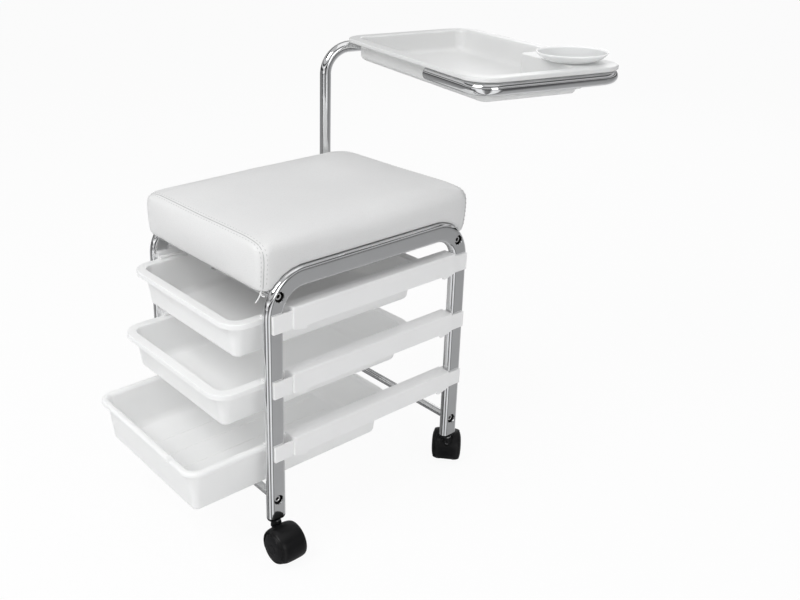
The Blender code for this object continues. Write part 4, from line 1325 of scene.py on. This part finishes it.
for end, sign in (("front", -1), ("rear", 1)):
    seam_line(f"seam_{end}", sign * SEAM_Y)
    stitches(f"stitch_{end}_outer", sign * (SEAM_Y + 3.2))
    stitches(f"stitch_{end}_inner", sign * (SEAM_Y - 3.6))


# ---- cord tails under the cover's front right corner ---------------------
def smooth_path(points):
    """Catmull-Rom curve through the points, eight steps to a span."""
    knots = [Vector(point) for point in points]
    last = len(knots) - 1
    path = []
    for i in range(last):
        before, start = knots[max(i - 1, 0)], knots[i]
        end, after = knots[i + 1], knots[min(i + 2, last)]
        for k in range(8):
            t = k / 8
            path.append(0.5 * (
                (2 * start) + (end - before) * t
                + (2 * before - 5 * start + 4 * end - after) * t * t
                + (-before + 3 * start - 3 * end + after) * t ** 3))
    path.append(knots[-1])
    return path


def cord(name, points, radius=0.95):
    path = smooth_path(points)
    rings = []
    side = Vector((1, 0, 0))
    for i, point in enumerate(path):
        tangent = (path[min(i + 1, len(path) - 1)] - path[max(i - 1, 0)]).normalized()
        side = (side - tangent * side.dot(tangent)).normalized()
        up = tangent.cross(side)
        here = radius * (1.0 if i < len(path) - 2 else 0.7)
        rings.append([tuple(point + side * here * x + up * here * y) for x, y in circle(1.0, 12)])
    finish(mesh_obj(name, loft(rings), CORD, sharp=60.0), "frame", slot="white_vinyl")


cord("cord_tail_a", [(143, -189, 417.0), (147, -194, 413.4), (149.4, -197.5, 411.4),
                     (149.6, -200.4, 408.2), (148.0, -202.6, 404.6)])
cord("cord_tail_b", [(143, -189, 416.6), (147, -192, 413.6), (150.5, -192.5, 412.6),
                     (153.4, -190.5, 412.0)])


# ======================= stage ===========================================
def studio_floor():
    """Near-white floor; polished metal sees it in darker and lighter sectors."""
    # (heading in degrees, grey)
    sectors = [
        (-158, 0.36), (-122, 0.36), (-110, 0.10), (-96, 0.12), (-88, 0.9), (-66, 0.95),
        (-54, 0.24), (-34, 0.16), (-24, 0.95), (2, 0.98), (10, 0.30), (20, 0.12), (27, 0.42),
        (62, 0.46), (110, 0.9), (150, 0.35),
    ]
    seam_grey = (0.40, 0.40, 0.404)  # where the headings meet, at 180 degrees
    shader = Shader(bpy.data.materials.new("stage_floor"))
    ray = shader.node("ShaderNodeLightPath").outputs
    incoming = shader.split(shader.node("ShaderNodeNewGeometry").outputs["Incoming"])
    away = [shader.calc("MULTIPLY", incoming[axis], -1.0) for axis in ("Y", "X")]
    heading = shader.remap(shader.calc("ARCTAN2", *away), over=(-math.pi, math.pi))
    shine = shader.ramp(heading, ends=(seam_grey, seam_grey),
                        stops=[((degrees + 180.0) / 360.0, grey) for degrees, grey in sectors])
    material = shader.shade({
        "Base Color": shader.blend(ray["Is Glossy Ray"], (0.90, 0.90, 0.90), shine),
        "Roughness": 0.9,
        "Specular IOR Level": 0.1,
    })
    emission = shader.node("ShaderNodeEmission", {"Color": (0.995, 0.995, 0.995)})
    mix = shader.node("ShaderNodeMixShader", {
        0: shader.calc("MULTIPLY", ray["Is Camera Ray"], 0.94),
        1: shader.tree.nodes["Principled BSDF"].outputs[0],
        2: emission.outputs[0],
    })
    shader.shade({"Surface": mix.outputs[0]}, "Material Output")
    half = 30000
    square = [(-half, -half), (half, -half), (half, half), (-half, half)]
    mesh_obj("studio_floor", prism(square, (-20.0, -0.3)), material)


def studio_world():
    """Even light, but banded by height where polished surfaces reflect it."""
    # (height from 0 straight down to 1 straight up, grey)
    bands = [
        (0.497, 0.50), (0.503, 0.02), (0.552, 0.03), (0.566, 0.9), (0.605, 1.15), (0.622, 0.10),
        (0.652, 0.14), (0.668, 1.0), (0.74, 1.1), (0.765, 0.22), (0.80, 0.12), (0.85, 0.30),
        (0.88, 1.0),
    ]
    scene.world = bpy.data.worlds.new("studio")
    shader = Shader(scene.world)
    direction = shader.split(shader.node("ShaderNodeTexCoord").outputs["Generated"])
    height = shader.remap(direction["Z"], over=(-1.0, 1.0))
    banded = shader.ramp(height, ends=((0.45, 0.45, 0.455), (1.0, 1.0, 1.0)), stops=bands)
    glossy = shader.node("ShaderNodeLightPath").outputs["Is Glossy Ray"]
    colour = shader.blend(glossy, (0.93, 0.935, 0.94), banded)
    shader.shade({"Color": colour, "Strength": 0.56}, "Background")


def area(name, at, toward, size, power):
    light = bpy.data.lights.new(name, "AREA")
    light.shape, light.energy = "RECTANGLE", power
    light.size, light.size_y = size
    obj = bpy.data.objects.new(name, light)
    scene.collection.objects.link(obj)
    obj.location = Vector(at) + SEAT_MIDDLE
    aim = Vector(toward) - Vector(at)
    obj.rotation_euler = aim.to_track_quat("-Z", "Y").to_euler()


def camera():
    azimuth, elevation, roll = math.radians(53.66), math.radians(20.54), math.radians(-0.9)
    back = Vector((
        math.sin(azimuth) * math.cos(elevation),
        -math.cos(azimuth) * math.cos(elevation),
        math.sin(elevation),
    ))
    level_right = (-back).cross(Vector((0, 0, 1))).normalized()
    level_up = level_right.cross(-back)
    right = math.cos(roll) * level_right + math.sin(roll) * level_up
    up = -math.sin(roll) * level_right + math.cos(roll) * level_up
    pose = Matrix((right, up, back)).transposed().to_4x4()
    pose.translation = Vector((1.052, -0.831, 0.910)) + SEAT_MIDDLE
    lens = bpy.data.cameras.new("camera")
    lens.sensor_width = 36
    lens.lens = 41.6025
    lens.shift_x = 0.154125
    lens.shift_y = -0.079875
    obj = bpy.data.objects.new("camera", lens)
    scene.collection.objects.link(obj)
    obj.matrix_world = pose
    scene.camera = obj


studio_floor()
studio_world()
area("key", at=(0.1, -1.9, 2.5), toward=(0.0, -0.25, 0.2), size=(1.5, 1.2), power=37.0)
area("fill", at=(2.8, -0.6, 1.3), toward=(0.0, 0.0, 0.35), size=(1.2, 1.6), power=9.8)
area("top", at=(0.2, 0.4, 2.6), toward=(0.0, 0.0, 0.3), size=(2.2, 1.6), power=5.5)
area("rim", at=(-1.4, 2.4, 1.6), toward=(0.0, 0.1, 0.4), size=(0.8, 1.6), power=6.5)
area("low", at=(0.3, -2.4, 0.7), toward=(0.0, -0.1, 0.25), size=(2.0, 0.8), power=3.3)
camera()
scene.view_settings.view_transform = "Standard"
scene.view_settings.look = "None"
